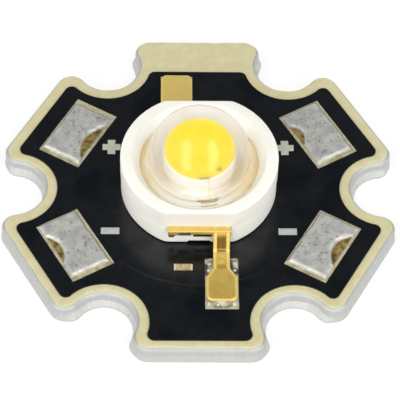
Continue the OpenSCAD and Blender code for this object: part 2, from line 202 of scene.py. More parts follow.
class Form:
    """Collects grids of points and makes them one closed mesh."""

    def __init__(self, name: str) -> None:
        """Starts an empty form.

        Args:
            name: Name of its piece.
        """
        self.name = name
        self.points: list[Array] = []
        self.corners: list[Array] = []
        self.sizes: list[Array] = []
        self.marks: dict[str, list[Array]] = {}
        self.uvs: list[Array] = []
        self.count = 0

    def _keep(self, points: Array, marks: dict[str, Array]) -> int:
        """Stores points with their marks; a mark that only other points have is 0 on these.

        Args:
            points: Points, one row each.
            marks: Named values, one for each point.

        Returns:
            The number of the first point.
        """
        first = self.count
        for label in set(self.marks) | set(marks):
            held = self.marks.setdefault(label, [np.zeros(first)] if first else [])
            held.append(np.broadcast_to(marks.get(label, 0.0), len(points)).astype(float))
        self.points.append(points)
        self.count += len(points)
        return first

    def _face(self, faces: Array, uv: Array | None = None) -> None:
        """Stores faces of one size.

        Args:
            faces: Numbers of each face's corners, one row each.
            uv: Place of each corner on the UV map, or the map's origin if left out.
        """
        self.corners.append(faces.ravel())
        self.sizes.append(np.full(len(faces), faces.shape[1]))
        self.uvs.append(np.zeros((faces.size, 2)) if uv is None else uv.reshape(-1, 2))

    def tube(self, grid: Array, loop: bool = False, marks: dict[str, Array] | None = None,
             uv: tuple[Array, Array] | None = None, flat_ends: bool = False) -> None:
        """Adds a surface whose columns run all the way round.

        Args:
            grid: Points as rows by columns by three.
            loop: The last row joins the first; otherwise a fan closes each end.
            marks: Named values, one for each point of the grid.
            uv: Where each column, and the first again, and each row lie on the UV map.
            flat_ends: One flat face closes each end instead, for an outline that no fan would fit.
        """
        rows, columns = grid.shape[:2]
        ends = [] if loop or flat_ends else [grid[0].mean(0)[None], grid[-1].mean(0)[None]]
        flat = {k: np.broadcast_to(v, (rows, columns)) for k, v in (marks or {}).items()}
        tips = lambda v: [[v[0].mean(), v[-1].mean()]] if ends else []
        held = {k: np.concatenate([v.ravel(), *tips(v)]) for k, v in flat.items()}
        first = self._keep(np.concatenate([grid.reshape(-1, 3), *ends]), held)
        r = np.arange(rows if loop else rows - 1)[:, None]
        c = np.arange(columns)[None]
        spot = lambda i, j: first + (i % rows) * columns + j % columns
        quads = np.stack([spot(r, c), spot(r, c + 1), spot(r + 1, c + 1), spot(r + 1, c)], -1).reshape(-1, 4)
        where = None
        if uv is not None:
            at = lambda i, j: np.stack(np.broadcast_arrays(uv[0][j], uv[1][i % rows]), -1)
            where = np.stack([at(r, c), at(r, c + 1), at(r + 1, c + 1), at(r + 1, c)], -2)
        self._face(quads, where)
        c = np.arange(columns)
        if flat_ends:
            self._face(spot(0, c[::-1])[None])
            self._face(spot(rows - 1, c)[None])
        elif not loop:
            low = np.full(columns, first + rows * columns)
            self._face(np.stack([low, spot(0, c + 1), spot(0, c)], -1))
            self._face(np.stack([low + 1, spot(rows - 1, c), spot(rows - 1, c + 1)], -1))

    def plot(self, grid: Array, foot: float, marks: dict[str, Array] | None = None) -> None:
        """Adds a height field as a closed solid.

        Args:
            grid: Points of the top as rows by columns by three, rows along X and columns along Y.
            foot: Height of the flat underside.
            marks: Named values, one for each point of the grid.
        """
        rows, columns = grid.shape[:2]
        number = np.arange(rows * columns).reshape(rows, columns)
        rim = np.concatenate([number[:-1, 0], number[-1, :-1], number[:0:-1, -1], number[0, :0:-1]])
        top = grid.reshape(-1, 3)
        under = top[rim] * [1, 1, 0] + [0, 0, foot]
        middle = under.mean(0)[None]
        held = {k: np.concatenate([v.ravel(), v.ravel()[rim], [0.0]]) for k, v in (marks or {}).items()}
        first = self._keep(np.concatenate([top, under, middle]), held)
        number += first
        quads = [number[:-1, :-1], number[1:, :-1], number[1:, 1:], number[:-1, 1:]]
        self._face(np.stack(quads, -1).reshape(-1, 4))
        edge = first + rim
        below = first + len(top) + np.arange(len(rim))
        self._face(np.stack([edge, below, np.roll(below, -1), np.roll(edge, -1)], -1))
        centre = np.full(len(rim), first + len(top) + len(rim))
        self._face(np.stack([centre, np.roll(below, -1), below], -1))

    def build(self, finish: bpy.types.Material, sharp_deg: float = 38.0) -> bpy.types.Object:
        """Makes the mesh and its object.

        Args:
            finish: Material of the piece.
            sharp_deg: Edges that turn more than this stay sharp.

        Returns:
            The object, at the origin.
        """
        mesh = bpy.data.meshes.new(self.name)
        points = np.concatenate(self.points)
        corners = np.concatenate(self.corners).astype(np.int32)
        sizes = np.concatenate(self.sizes)
        mesh.vertices.add(len(points))
        mesh.vertices.foreach_set("co", points.astype(np.float32).ravel())
        mesh.loops.add(len(corners))
        mesh.loops.foreach_set("vertex_index", corners)
        mesh.polygons.add(len(sizes))
        mesh.polygons.foreach_set("loop_start", (np.cumsum(sizes) - sizes).astype(np.int32))
        for label, values in self.marks.items():
            mark = mesh.attributes.new(label, "FLOAT", "POINT")
            mark.data.foreach_set("value", np.concatenate(values).astype(np.float32))
        layer = mesh.uv_layers.new(name="UVMap")
        layer.uv.foreach_set("vector", np.concatenate(self.uvs).astype(np.float32).ravel())
        mesh.update(calc_edges=True)
        mesh.validate()
        mesh.shade_smooth()
        mesh.set_sharp_from_angle(angle=math.radians(sharp_deg))
        mesh.materials.append(finish)
        piece = bpy.data.objects.new(self.name, mesh)
        bpy.context.scene.collection.objects.link(piece)
        log.info("%s: %d points, %d faces", self.name, len(points), len(sizes))
        return piece


def place(piece: bpy.types.Object, slot: Slot, *nodes: str) -> None:
    """Makes a piece ride on the part and hides the nodes that it stands for.

    Args:
        piece: The finished piece.
        slot: Its material slot; not used.
        nodes: Nodes of the frame that it stands for, if any.
    """
    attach(piece, BODY)
    if nodes:
        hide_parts(*nodes)


class Shader:
    """A material with one Principled surface, and short calls that add nodes to it."""

    def __init__(self, name: str) -> None:
        """Starts a material whose patterns are read in object coordinates.

        Args:
            name: Name of the material.
        """
        self.material = bpy.data.materials.new(name)
        self.material.use_nodes = True
        self.tree = self.material.node_tree
        self.surface = self.tree.nodes["Principled BSDF"]
        source = self.add("ShaderNodeTexCoord")
        self.spot = source.outputs["Object"]
        self.uv = source.outputs["UV"]

    def add(self, kind: str, inputs: dict | None = None, **settings) -> bpy.types.Node:
        """Adds a node.

        Args:
            kind: Blender's name for the node.
            inputs: Sockets by name or number, each with a value or a socket to join.
            settings: The node's own properties.

        Returns:
            The new node.
        """
        node = self.tree.nodes.new(kind)
        for key, value in settings.items():
            setattr(node, key, value)
        for key, value in (inputs or {}).items():
            self.join(node.inputs[key], value)
        return node

    def join(self, socket: bpy.types.NodeSocket, value: object) -> None:
        """Links a socket to another, or sets its value.

        Args:
            socket: The input to fill.
            value: An output to link, or a plain value; a colour of three numbers gets its fourth.
        """
        if isinstance(value, bpy.types.NodeSocket):
            self.tree.links.new(value, socket)
        elif isinstance(value, tuple) and len(value) == 3 and socket.type == "RGBA":
            socket.default_value = (*value, 1.0)
        else:
            socket.default_value = value

    def set(self, **sockets) -> None:
        """Sets the surface's sockets, with underscores for the spaces in their names."""
        for key, value in sockets.items():
            self.join(self.surface.inputs[key.replace("_", " ")], value)

    def mark(self, label: str) -> bpy.types.NodeSocket:
        """Reads a named value of the piece's points."""
        return self.add("ShaderNodeAttribute", attribute_name=label).outputs["Fac"]

    def noise(self, size_mm: float, detail: float = 3.0, at: bpy.types.NodeSocket | None = None,
              stretch: tuple[float, float, float] = (1.0, 1.0, 1.0)) -> bpy.types.NodeSocket:
        """Adds noise with features of the given size.

        Args:
            size_mm: Width of a feature.
            detail: Number of finer layers.
            at: Coordinates, or the object's own if left out.
            stretch: How much finer the noise is along each axis.

        Returns:
            The noise's height, about 0.5 on average.
        """
        where = self.add("ShaderNodeMapping", {"Vector": at or self.spot, "Scale": stretch})
        inputs = {"Vector": where.outputs[0], "Scale": 1 / (size_mm * MM), "Detail": detail}
        return self.add("ShaderNodeTexNoise", inputs).outputs["Fac"]

    def span(self, value: bpy.types.NodeSocket, low: float, high: float, to_low: float = 0.0,
             to_high: float = 1.0) -> bpy.types.NodeSocket:
        """Maps a value from one range to another and clamps it."""
        inputs = {"Value": value, "From Min": low, "From Max": high, "To Min": to_low, "To Max": to_high}
        return self.add("ShaderNodeMapRange", inputs).outputs["Result"]

    def blend(self, share: bpy.types.NodeSocket, first: object, second: object) -> bpy.types.NodeSocket:
        """Mixes two colours, the second by the given share."""
        return self.add("ShaderNodeMix", {0: share, 6: first, 7: second}, data_type="RGBA").outputs[2]

    def sum(self, first: object, second: object, kind: str = "ADD") -> bpy.types.NodeSocket:
        """Joins two values by a Math node."""
        return self.add("ShaderNodeMath", {0: first, 1: second}, operation=kind).outputs[0]

    def bump(self, height: bpy.types.NodeSocket, depth_mm: float,
             under: bpy.types.NodeSocket | None = None) -> bpy.types.NodeSocket:
        """Adds relief.

        Args:
            height: The relief's height, from 0 to 1.
            depth_mm: What a height of 1 stands for.
            under: Normal of a relief that this one lies on, if any.

        Returns:
            The normal.
        """
        inputs = {"Height": height, "Distance": depth_mm * MM, "Strength": 1.0}
        if under is not None:
            inputs["Normal"] = under
        return self.add("ShaderNodeBump", inputs).outputs["Normal"]


@dataclass(frozen=True)
class PunchedMetal:
    """Bare plate whose edge was punched: a smooth sheared band above a torn, speckled one, whose paler tone is partly
    painted light.
    """

    name: str
    colour: Colour
    torn_colour: Colour
    metallic: float
    roughness: float
    nick_colour: Colour = (0.2, 0.2, 0.19)
    streak_mm: float = 0.16
    speckle_mm: float = 0.07
    nick_mm: float = 0.22
    streak_relief_mm: float = 0.012
    torn_relief_mm: float = 0.022

    def make(self) -> bpy.types.Material:
        """Builds the material: streaks run down the edge, and nicks and speckle lie in the torn band, whose paler
        tone, strongest in the notches, is partly painted light.

        Returns:
            The material.
        """
        s = Shader(self.name)
        torn = s.mark("torn")
        streak = s.noise(self.streak_mm, 4, s.uv, (1.0, 0.12, 1.0))
        speckle = s.noise(self.speckle_mm, 5)
        nick = s.span(s.noise(self.nick_mm, 2, s.uv, (1.0, 0.7, 1.0)), 0.66, 0.74)
        mean = tuple(0.5 * (a + b) for a, b in zip(self.colour, self.torn_colour))
        pale = s.blend(s.span(speckle, 0.3, 0.7), mean, self.torn_colour)
        # Paler torn band: the torn metal's own tone, plus painted light where the notch walls catch more lamp light.
        base = s.blend(s.sum(torn, 0.75, "MULTIPLY"), self.colour, pale)
        base = s.blend(s.span(streak, 0.3, 0.75, 0.0, 0.3), base, tuple(0.72 * c for c in self.colour))
        base = s.blend(s.sum(s.sum(nick, torn, "MULTIPLY"), 0.45, "MULTIPLY"), base, self.nick_colour)
        rough = s.span(speckle, 0.3, 0.7, self.roughness - 0.06, self.roughness + 0.1)
        rough = s.sum(rough, s.sum(torn, 0.18, "MULTIPLY"))
        relief = s.bump(streak, self.streak_relief_mm)
        relief = s.bump(s.sum(speckle, torn, "MULTIPLY"), self.torn_relief_mm, relief)
        s.set(Base_Color=base, Metallic=self.metallic, Roughness=rough, Normal=relief)
        return s.material


@dataclass(frozen=True)
class PlatedMetal:
    """Thin plating over stamped metal: faint cloudy tone, fine grain, paler edges that are partly wear and partly
    painted highlight, and a darker tone that on the leads is painted shade.
    """

    name: str
    colour: Colour
    cloud: Colour
    worn: Colour
    dull: Colour
    metallic: float
    roughness: float
    grain_mm: float
    relief_mm: float
    cloud_cells: float = 9.0

    def make(self) -> bpy.types.Material:
        """Builds the material: two tones of plating, a pressed grain, a paler tone for wear and painted highlights,
        and a darker tone where marked, which on the leads is painted shade.

        Returns:
            The material.
        """
        s = Shader(self.name)
        clouds = s.noise(self.grain_mm * self.cloud_cells, 4)
        fine = s.noise(self.grain_mm, 4)
        wear_and_highlight_share = s.mark("worn")
        base = s.blend(s.span(clouds, 0.36, 0.66), self.colour, self.cloud)
        # Darker tone where marked: on the leads it is painted shade on the bent neck, its crease, the tab's lower lip
        # and the foot's shoulders.
        base = s.blend(s.mark("dull"), base, self.dull)
        # Paler tone where marked: wear, plus painted highlights along the leads' edges, at the tab's nose, before the
        # foot and on the bond pad.
        base = s.blend(wear_and_highlight_share, base, self.worn)
        rough = s.span(fine, 0.3, 0.7, self.roughness - 0.05, self.roughness + 0.07)
        rough = s.sum(rough, s.sum(wear_and_highlight_share, -0.12, "MULTIPLY"))
        metallic = s.span(wear_and_highlight_share, 0.0, 1.0, self.metallic, 0.5 * self.metallic)
        s.set(Base_Color=base, Metallic=metallic, Roughness=rough, Normal=s.bump(fine, self.relief_mm))
        return s.material


@dataclass(frozen=True)
class PittedSolder:
    """Frosted solder with dark pits, bare tin at its borders and pools of brown flux, with painted shade and a
    painted warm tint along some borders.
    """

    name: str
    colour: Colour
    dull: Colour
    tin: Colour
    flux: Colour
    flux_dark: Colour
    pit: Colour
    metallic: float
    roughness: float
    burnt: Colour = (0.014, 0.012, 0.01)
    frost_mm: float = 0.1
    patch_mm: float = 0.5
    speck_mm: float = 0.15
    relief_mm: float = 0.012

    def make(self) -> bpy.types.Material:
        """Builds the material: marks on the piece say where tin, flux, pits and burnt flux are; the pit mark also
        carries a painted shade line, and the flux mark a painted warm tint.

        Returns:
            The material.
        """
        s = Shader(self.name)
        tin = s.mark("tin")
        flux = s.mark("flux")
        pit = s.mark("pit")
        frost = s.noise(self.frost_mm, 5)
        patch = s.noise(self.patch_mm, 3)
        speck = s.span(s.noise(self.speck_mm, 2), 0.63, 0.7, 0.0, 0.45)
        metal = s.blend(s.span(patch, 0.38, 0.64), self.colour, self.dull)
        metal = s.blend(s.span(frost, 0.54, 0.7, 0.0, 0.35), metal, tuple(0.62 * c for c in self.dull))
        metal = s.blend(speck, metal, self.pit)
        worn_tin = s.blend(s.span(s.noise(0.18, 4), 0.45, 0.7), self.tin, tuple(0.72 * c for c in self.tin))
        metal = s.blend(tin, metal, worn_tin)
        metal = s.blend(pit, metal, self.pit)
        resin = s.blend(s.span(s.noise(0.3, 3), 0.35, 0.65), self.flux, self.flux_dark)
        base = s.blend(s.mark("burnt"), s.blend(flux, metal, resin), self.burnt)
        rough = s.span(frost, 0.3, 0.7, self.roughness - 0.06, self.roughness + 0.08)
        rough = s.sum(rough, s.sum(flux, -0.2, "MULTIPLY"))
        dulled = s.sum(s.sum(flux, pit, "MAXIMUM"), tin, "MAXIMUM")
        metallic = s.span(dulled, 0.0, 1.0, self.metallic, 0.05)
        s.set(Base_Color=base, Metallic=metallic, Roughness=rough, Normal=s.bump(frost, self.relief_mm))
        return s.material


@dataclass(frozen=True)
class Moulded:
    """Plain plastic, ink, laminate or ceramic: a mottled colour with its own grain."""

    name: str
    colour: Colour
    mottle: Colour
    roughness: float
    mottle_mm: float
    grain_mm: float
    relief_mm: float
    scatter_mm: float = 0.0
    scatter_share: float = 0.35
    scatter_reach: Colour = (1.0, 0.9, 0.6)
    soil: Colour = (0.03, 0.018, 0.008)
    glue: Colour = (0.86, 0.68, 0.34)

    def make(self) -> bpy.types.Material:
        """Builds the material: two tones mixed by noise, a tan tint and a dark tone where marked, which on the white
        body is mostly painted shade, uneven gloss and a fine relief.

        Returns:
            The material.
        """
        s = Shader(self.name)
        base = s.blend(s.span(s.noise(self.mottle_mm, 4), 0.35, 0.68), self.colour, self.mottle)
        # Tan tint where marked: glue and tarnish, and on the white body's floor partly painted warm light.
        base = s.blend(s.mark("glue"), base, self.glue)
        # Dark tone where marked: on the white body mostly painted shade in the pockets, along the joints and on the
        # flats.
        base = s.blend(s.mark("soil"), base, self.soil)
        fine = s.noise(self.grain_mm, 4)
        rough = s.span(fine, 0.3, 0.7, self.roughness - 0.05, self.roughness + 0.05)
        s.set(Base_Color=base, Roughness=rough, Normal=s.bump(fine, self.relief_mm))
        if self.scatter_mm > 0:
            s.set(Subsurface_Weight=self.scatter_share, Subsurface_Scale=self.scatter_mm * MM,
                  Subsurface_Radius=self.scatter_reach)
        return s.material


@dataclass(frozen=True)
class SatinMask:
    """Printed black lacquer: a soft gloss over a faint orange peel."""

    name: str
    colour: Colour
    dust: Colour
    roughness: float
    dust_mm: float = 0.9
    gloss_mm: float = 2.2
    peel_mm: float = 0.45
    peel_relief_mm: float = 0.004
    grain_mm: float = 0.06
    grain_relief_mm: float = 0.0015

    def make(self) -> bpy.types.Material:
        """Builds the material: fine dust tone, cloudy gloss and two sizes of relief.

        Returns:
            The material.
        """
        s = Shader(self.name)
        peel = s.noise(self.peel_mm, 3)
        fine = s.noise(self.grain_mm, 3)
        base = s.blend(s.span(s.noise(self.dust_mm, 5), 0.45, 0.75, 0.0, 0.5), self.colour, self.dust)
        rough = s.span(peel, 0.3, 0.7, self.roughness - 0.04, self.roughness + 0.06)
        s.set(Specular_IOR_Level=s.span(s.noise(self.gloss_mm, 2), 0.52, 0.66, 0.5, 0.32))
        relief = s.bump(fine, self.grain_relief_mm, s.bump(peel, self.peel_relief_mm))
        s.set(Base_Color=base, Roughness=rough, Normal=relief)
        return s.material


@dataclass(frozen=True)
class PhosphorFill:
    """Yellow phosphor cast in silicone, with faint clouds, an olive stain at its nicks and a painted shadow line
    along its front edge.
    """

    name: str
    colour: Colour
    pale: Colour
    stain: Colour
    cloud_mm: float = 0.35
    grain_mm: float = 0.04
    relief_mm: float = 0.002

    def make(self) -> bpy.types.Material:
        """Builds the material: pale clouds, and a pale rim, the stain and a painted shadow line where the piece's
        marks say.

        Returns:
            The material.
        """
        s = Shader(self.name)
        base = s.blend(s.span(s.noise(self.cloud_mm, 4), 0.4, 0.75), self.colour, self.pale)
        base = s.blend(s.mark("pale"), base, self.pale)
        base = s.blend(s.mark("stain"), base, self.stain)
        fine = s.noise(self.grain_mm, 3)
        s.set(Base_Color=base, Roughness=s.span(fine, 0.3, 0.7, 0.45, 0.6), Normal=s.bump(fine, self.relief_mm))
        return s.material


@dataclass(frozen=True)
class ClearResin:
    """Clear cast resin of one refractive index, with an almost even gloss."""

    name: str
    colour: Colour
    passing: Colour
    index: float
    roughness: float
    coat: float = 0.5
    coat_roughness: float = 0.4
    ripple_mm: float = 1.4
    relief_mm: float = 0.0006

    def make(self) -> bpy.types.Material:
        """Builds the material: full transmission and a barely rippled skin; lamps shine through to what is inside.

        Returns:
            The material.
        """
        s = Shader(self.name)
        s.set(Base_Color=self.colour, Roughness=self.roughness, IOR=self.index, Transmission_Weight=1.0)
        s.set(Coat_Weight=self.coat, Coat_Roughness=self.coat_roughness)
        s.set(Normal=s.bump(s.noise(self.ripple_mm, 2), self.relief_mm))
        lit = s.add("ShaderNodeBsdfTransparent", {"Color": self.passing})
        shadow = s.add("ShaderNodeLightPath").outputs["Is Shadow Ray"]
        both = s.add("ShaderNodeMixShader", {0: shadow, 1: s.surface.outputs[0], 2: lit.outputs[0]})
        s.join(s.tree.nodes["Material Output"].inputs["Surface"], both.outputs[0])
        return s.material


@dataclass(frozen=True)
class AmberBead:
    """Amber sealant: deep where the bead is thick, nearly clear where it is thin."""

    name: str
    thin: Colour
    thick: Colour
    roughness: float = 0.22
    index: float = 1.45
    clearness: float = 0.25
    cloud_mm: float = 0.4
    ripple_mm: float = 0.2
    relief_mm: float = 0.01

    def make(self) -> bpy.types.Material:
        """Builds the material: the piece's mark says how thick the bead is.

        Returns:
            The material.
        """
        s = Shader(self.name)
        base = s.blend(s.mark("thick"), self.thin, self.thick)
        base = s.blend(s.span(s.noise(self.cloud_mm, 3), 0.4, 0.7, 0.0, 0.35), base, self.thin)
        s.set(Base_Color=base, Roughness=self.roughness, IOR=self.index, Transmission_Weight=self.clearness,
              Normal=s.bump(s.noise(self.ripple_mm, 3), self.relief_mm))
        return s.material


class Finishes:
    """All the materials of the part, made once."""

    def __init__(self) -> None:
        """Builds each finish from its colours."""
        self.aluminium = PunchedMetal("punched_aluminium", colour=srgb(188, 189, 185),
                                      torn_colour=srgb(226, 226, 221), metallic=0.42, roughness=0.5).make()
        self.insulation = Moulded("cream_laminate", colour=srgb(206, 197, 152), mottle=srgb(214, 206, 166),
                                  roughness=0.42, mottle_mm=0.5, grain_mm=0.08, relief_mm=0.004).make()
        self.film = Moulded("polarity_film", colour=srgb(226, 218, 184), mottle=srgb(214, 204, 164), roughness=0.35,
                            mottle_mm=0.2, grain_mm=0.05, relief_mm=0.004, glue=srgb(158, 138, 84)).make()
        copper = srgb(206, 140, 100)
        self.copper = PlatedMetal("copper_foil", colour=srgb(196, 122, 84), cloud=copper, worn=copper, dull=copper,
                                  metallic=1.0, roughness=0.4, grain_mm=0.05, relief_mm=0.002).make()
        self.mask = SatinMask("black_mask", colour=srgb(3, 8, 13), dust=srgb(9, 12, 16), roughness=0.24).make()
        self.solder = PittedSolder("pitted_solder", colour=srgb(208, 208, 199), dull=srgb(182, 181, 180),
                                   tin=srgb(190, 183, 152), flux=srgb(158, 138, 82), flux_dark=srgb(84, 64, 24),
                                   pit=srgb(92, 84, 72), metallic=0.45, roughness=0.44).make()
        self.ink = Moulded("grey_ink", colour=srgb(168, 171, 163), mottle=srgb(180, 183, 176), roughness=0.5,
                           mottle_mm=0.25, grain_mm=0.05, relief_mm=0.003).make()
        # A lighter copy of the grey ink for the plus marks: painted light, as they are better lit than the minus
        # marks.
        self.painted_light_ink = Moulded("painted_light_ink", colour=srgb(190, 192, 176), mottle=srgb(200, 202, 188), roughness=0.5,
                                mottle_mm=0.25, grain_mm=0.05, relief_mm=0.003).make()
        silver = srgb(250, 248, 242)
        self.slug = PlatedMetal("frosted_silver", colour=silver, cloud=srgb(246, 243, 234), worn=silver,
                                dull=srgb(206, 176, 112), metallic=0.15, roughness=0.5, grain_mm=0.05,
                                relief_mm=0.002).make()
        self.body = Moulded("white_plastic", colour=srgb(250, 247, 238), mottle=srgb(246, 242, 230), roughness=0.42,
                            mottle_mm=0.8, grain_mm=0.05, relief_mm=0.003, scatter_mm=0.25).make()
        # The gold's dark dull colour is painted shade on the leads' bends and lip; its pale colour is partly painted
        # highlight.
        self.gold = PlatedMetal("gold_plate", colour=srgb(232, 201, 108), cloud=srgb(224, 190, 98),
                                worn=srgb(247, 217, 126), dull=srgb(92, 54, 4), metallic=0.75, roughness=0.46,
                                grain_mm=0.05, relief_mm=0.003).make()
        self.chip = Moulded("chip_ceramic", colour=srgb(140, 160, 190), mottle=srgb(120, 140, 176), roughness=0.3,
                            mottle_mm=0.2, grain_mm=0.03, relief_mm=0.001).make()
        self.phosphor = PhosphorFill("yellow_phosphor", colour=srgb(235, 207, 4), pale=srgb(243, 219, 46),
                                     stain=srgb(150, 130, 40)).make()
        self.lens = ClearResin("clear_resin", colour=(1.0, 1.0, 1.0), passing=(0.79, 0.79, 0.8), index=1.45,
                               roughness=0.2).make()
        self.sealant = AmberBead("amber_sealant", thin=srgb(252, 249, 238), thick=srgb(252, 216, 124)).make()


@dataclass
class StarOutline:
    """Plan of the board: six arms with rounded corners and a round notch between each two."""

    apothem: float
    notch_radius: float = 1.59 * MM
    notch_setback: float = 1.795 * MM
    corner_radius: float = 0.85 * MM
    arms: int = 6
    points: int = 1536
    notch_points: int = 90
    corner_points: int = 60
    end_points: int = 40

    def notch_reach(self) -> float:
        """Gives the distance from the board's middle to a notch's centre."""
        return (self.apothem - self.notch_setback) / math.cos(math.pi / self.arms)

    def notch_centres(self) -> Array:
        """Gives the centres of the notches, one row each."""
        angle = np.arange(self.arms) * 2 * math.pi / self.arms
        return self.notch_reach() * np.stack([np.cos(angle), np.sin(angle)], -1)

    def trace(self) -> tuple[Array, Array, Array]:
        """Walks the outline once round, with points evenly along it.

        Half an arm is a notch arc, a corner arc that turns the other way and half of the straight end. The other half
        is its mirror image, and each arm is the first one turned.

        Returns:
            Positions, outward normals and the distance walked, the last with the whole length at its end.
        """
        half = math.pi / self.arms
        notch = self.notch_reach() * np.array([math.sin(half), math.cos(half)])
        rise = self.apothem - self.corner_radius - notch[1]
        corner = notch + [-math.sqrt((self.notch_radius + self.corner_radius) ** 2 - rise**2), rise]
        meet = math.atan2(corner[1] - notch[1], corner[0] - notch[0])
        arc = np.linspace(1.5 * math.pi - half, meet, self.notch_points)
        turn = np.linspace(meet - math.pi, math.pi / 2, self.corner_points)[1:]
        ring = lambda a: np.stack([np.cos(a), np.sin(a)], -1)
        straight = np.linspace(corner[0], 0, self.end_points)[1:]
        spots = np.concatenate([notch + self.notch_radius * ring(arc), corner + self.corner_radius * ring(turn),
                                np.stack([straight, np.full_like(straight, self.apothem)], -1)])
        normals = np.concatenate([-ring(arc), ring(turn), np.tile([0.0, 1.0], (len(straight), 1))])
        spots = np.concatenate([spots, spots[-2::-1] * [-1, 1]])[:-1]
        normals = np.concatenate([normals, normals[-2::-1] * [-1, 1]])[:-1]
        angles = np.arange(self.arms) * 2 * half
        turned = ring(angles)
        spin = np.stack([turned, turned[:, ::-1] * [-1, 1]], 1)
        spots = (spots @ spin).reshape(-1, 2)
        normals = (normals @ spin).reshape(-1, 2)
        closed = np.concatenate([spots, spots[:1]])
        walked = np.concatenate([[0], np.cumsum(np.linalg.norm(np.diff(closed, axis=0), axis=1))])
        even = np.linspace(0, walked[-1], self.points + 1)
        pick = lambda v: np.stack([np.interp(even[:-1], walked, np.append(v[:, k], v[0, k])) for k in range(2)], -1)
        normal = pick(normals)
        return pick(spots), normal / np.linalg.norm(normal, axis=1, keepdims=True), even


@dataclass
class Board:
    """The star board: plate, laminate, lacquer, tracks and printed marks."""

    finishes: Finishes
    roll_width: float = 0.22 * MM
    roll_tuck: float = 0.1 * MM
    roll_drop: float = 0.18 * MM
    wall_inset: float = 0.06 * MM
    foot_radius: float = 0.03 * MM
    foot_band: float = 0.1 * MM
    tear_height: float = 0.48 * MM
    tear_wander: float = 0.07 * MM
    tear_rough: float = 0.012 * MM
    tear_cells: int = 640
    notch_lean: float = 0.12 * MM
    notch_fade: float = 0.5 * MM
    plain_tear: float = 0.25
    streak_depth: float = 0.006 * MM
    streak_start: float = 0.12 * MM
    streak_full: float = 0.25 * MM
    laminate_draw: float = 0.2 * MM
    laminate_drop: float = 0.025 * MM
    laminate_sink: float = 0.02 * MM
    laminate_wander: float = 0.012 * MM
    track_inner: float = 6.085 * MM
    track_width: float = 0.8 * MM
    track_rise: float = 0.012 * MM
    track_soft: float = 0.22 * MM
    track_sweep_deg: float = 41.5
    track_fade: float = 0.04
    window_x: float = 0.81 * MM
    window_y: float = 5.11 * MM
    window_half: tuple[float, float] = (0.47 * MM, 0.205 * MM)
    film_drop: float = 0.02 * MM
    film_foot: float = 0.06 * MM
    film_rough: float = 0.006 * MM
    ink_soft: float = 0.05 * MM
    stroke_half: float = 0.205 * MM
    outline: StarOutline = field(init=False)
    spots: Array = field(init=False)
    normals: Array = field(init=False)
    along: Array = field(init=False)

    def build(self) -> None:
        """Builds every piece of the board and dresses the nodes that stay."""
        low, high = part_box("aluminium_base")
        self.outline = StarOutline(high.y)
        self.spots, self.normals, self.along = self.outline.trace()
        self.plate(low.z, high.z)
        self.laminate()
        self.tracks()
        self.polarity_bar()
        for label in ("plus_mark_left", "plus_mark_right", "minus_mark_left", "minus_mark_right"):
            self.mark(label)
        for label in ("copper_anode", "copper_cathode", "copper_thermal_pad"):
            dress(label, self.finishes.copper)
        dress("solder_mask", self.finishes.mask)

    def carried(self, inset: Array, height: Array) -> Array:
        """Carries a profile along the outline: each point moves in by its inset along the normal, at its height.

        Args:
            inset: Distance in from the outline, for each row and each place along it.
            height: Height of the same points.

        Returns:
            Points as rows by places by three.
        """
        inset, height = np.broadcast_arrays(inset, height)
        plan = self.spots[None] - inset[..., None] * self.normals[None]
        return np.concatenate([plan, height[..., None]], -1)

    def plate(self, bottom: float, top: float) -> None:
        """Builds the punched plate: a rolled top edge, a sheared band, a torn band that leans out, and a sharp foot.

        The roll is a quarter ellipse. The torn band starts below a wandering line, leans out evenly to the foot, more
        so in the notches, and is roughened by noise.

        Args:
            bottom: Height of the plate's back face.
            top: Height of its upper face.
        """
        quarter = np.linspace(0, math.pi / 2, 9)
        wall = np.linspace(top - self.roll_drop, bottom + self.foot_radius, 28)[1:-1]
        height = np.concatenate([[top], top - self.roll_drop * (1 - np.cos(quarter)), wall,
                                 bottom + self.foot_radius * (1 - np.sin(quarter))])
        start = self.roll_width + self.roll_tuck
        inset = np.concatenate([[2 * self.roll_width],
                                self.wall_inset + (start - self.wall_inset) * (1 - np.sin(quarter)),
                                np.full_like(wall, self.wall_inset),
                                self.wall_inset + self.foot_radius * (1 - np.cos(quarter))])
        along = self.along[:-1]
        edge = bottom + self.tear_height + self.tear_wander * waves(along, self.along[-1], (7, 19, 31, 53), 3)
        lean = np.clip((edge[None] - height[:, None]) / (edge - bottom - self.foot_band)[None], 0, 1)
        away = np.linalg.norm(self.spots[:, None] - self.outline.notch_centres()[None], axis=2).min(1)
        in_notch = 1 - ease(away - self.outline.notch_radius, 0, self.notch_fade)
        torn = ease(lean, 0, 0.15) * (1 - 0.6 * ease(lean, 0.9, 1.0))
        cell = self.along[-1] / self.tear_cells
        rough = grain(np.broadcast_to(along, torn.shape), np.broadcast_to(height[:, None], torn.shape), cell, 5)
        steps = inset[:, None] - lean * (self.wall_inset + self.notch_lean * in_notch[None])
        steps = steps + torn * self.tear_rough * np.abs(rough)
        streaks = self.streak_depth * np.abs(waves(along, self.along[-1], (97, 131, 173, 211), 8))
        steps = steps + streaks[None] * ease(top - height, self.streak_start, self.streak_full)[:, None]
        form = Form("board_plate")
        run = np.concatenate([[0], np.cumsum(np.hypot(np.diff(inset), np.diff(height)))])
        # The torn band is weakened on the plain edges and kept full in the notches: painted light, as the notch walls
        # catch more lamp light.
        torn = torn * (self.plain_tear + (1 - self.plain_tear) * in_notch)[None]
        form.tube(self.carried(steps, height[:, None])[::-1], marks={"torn": torn[::-1]}, uv=(self.along, run[::-1]),
                  flat_ends=True)
        place(form.build(self.finishes.aluminium), Slot.ALUMINIUM, "aluminium_base")

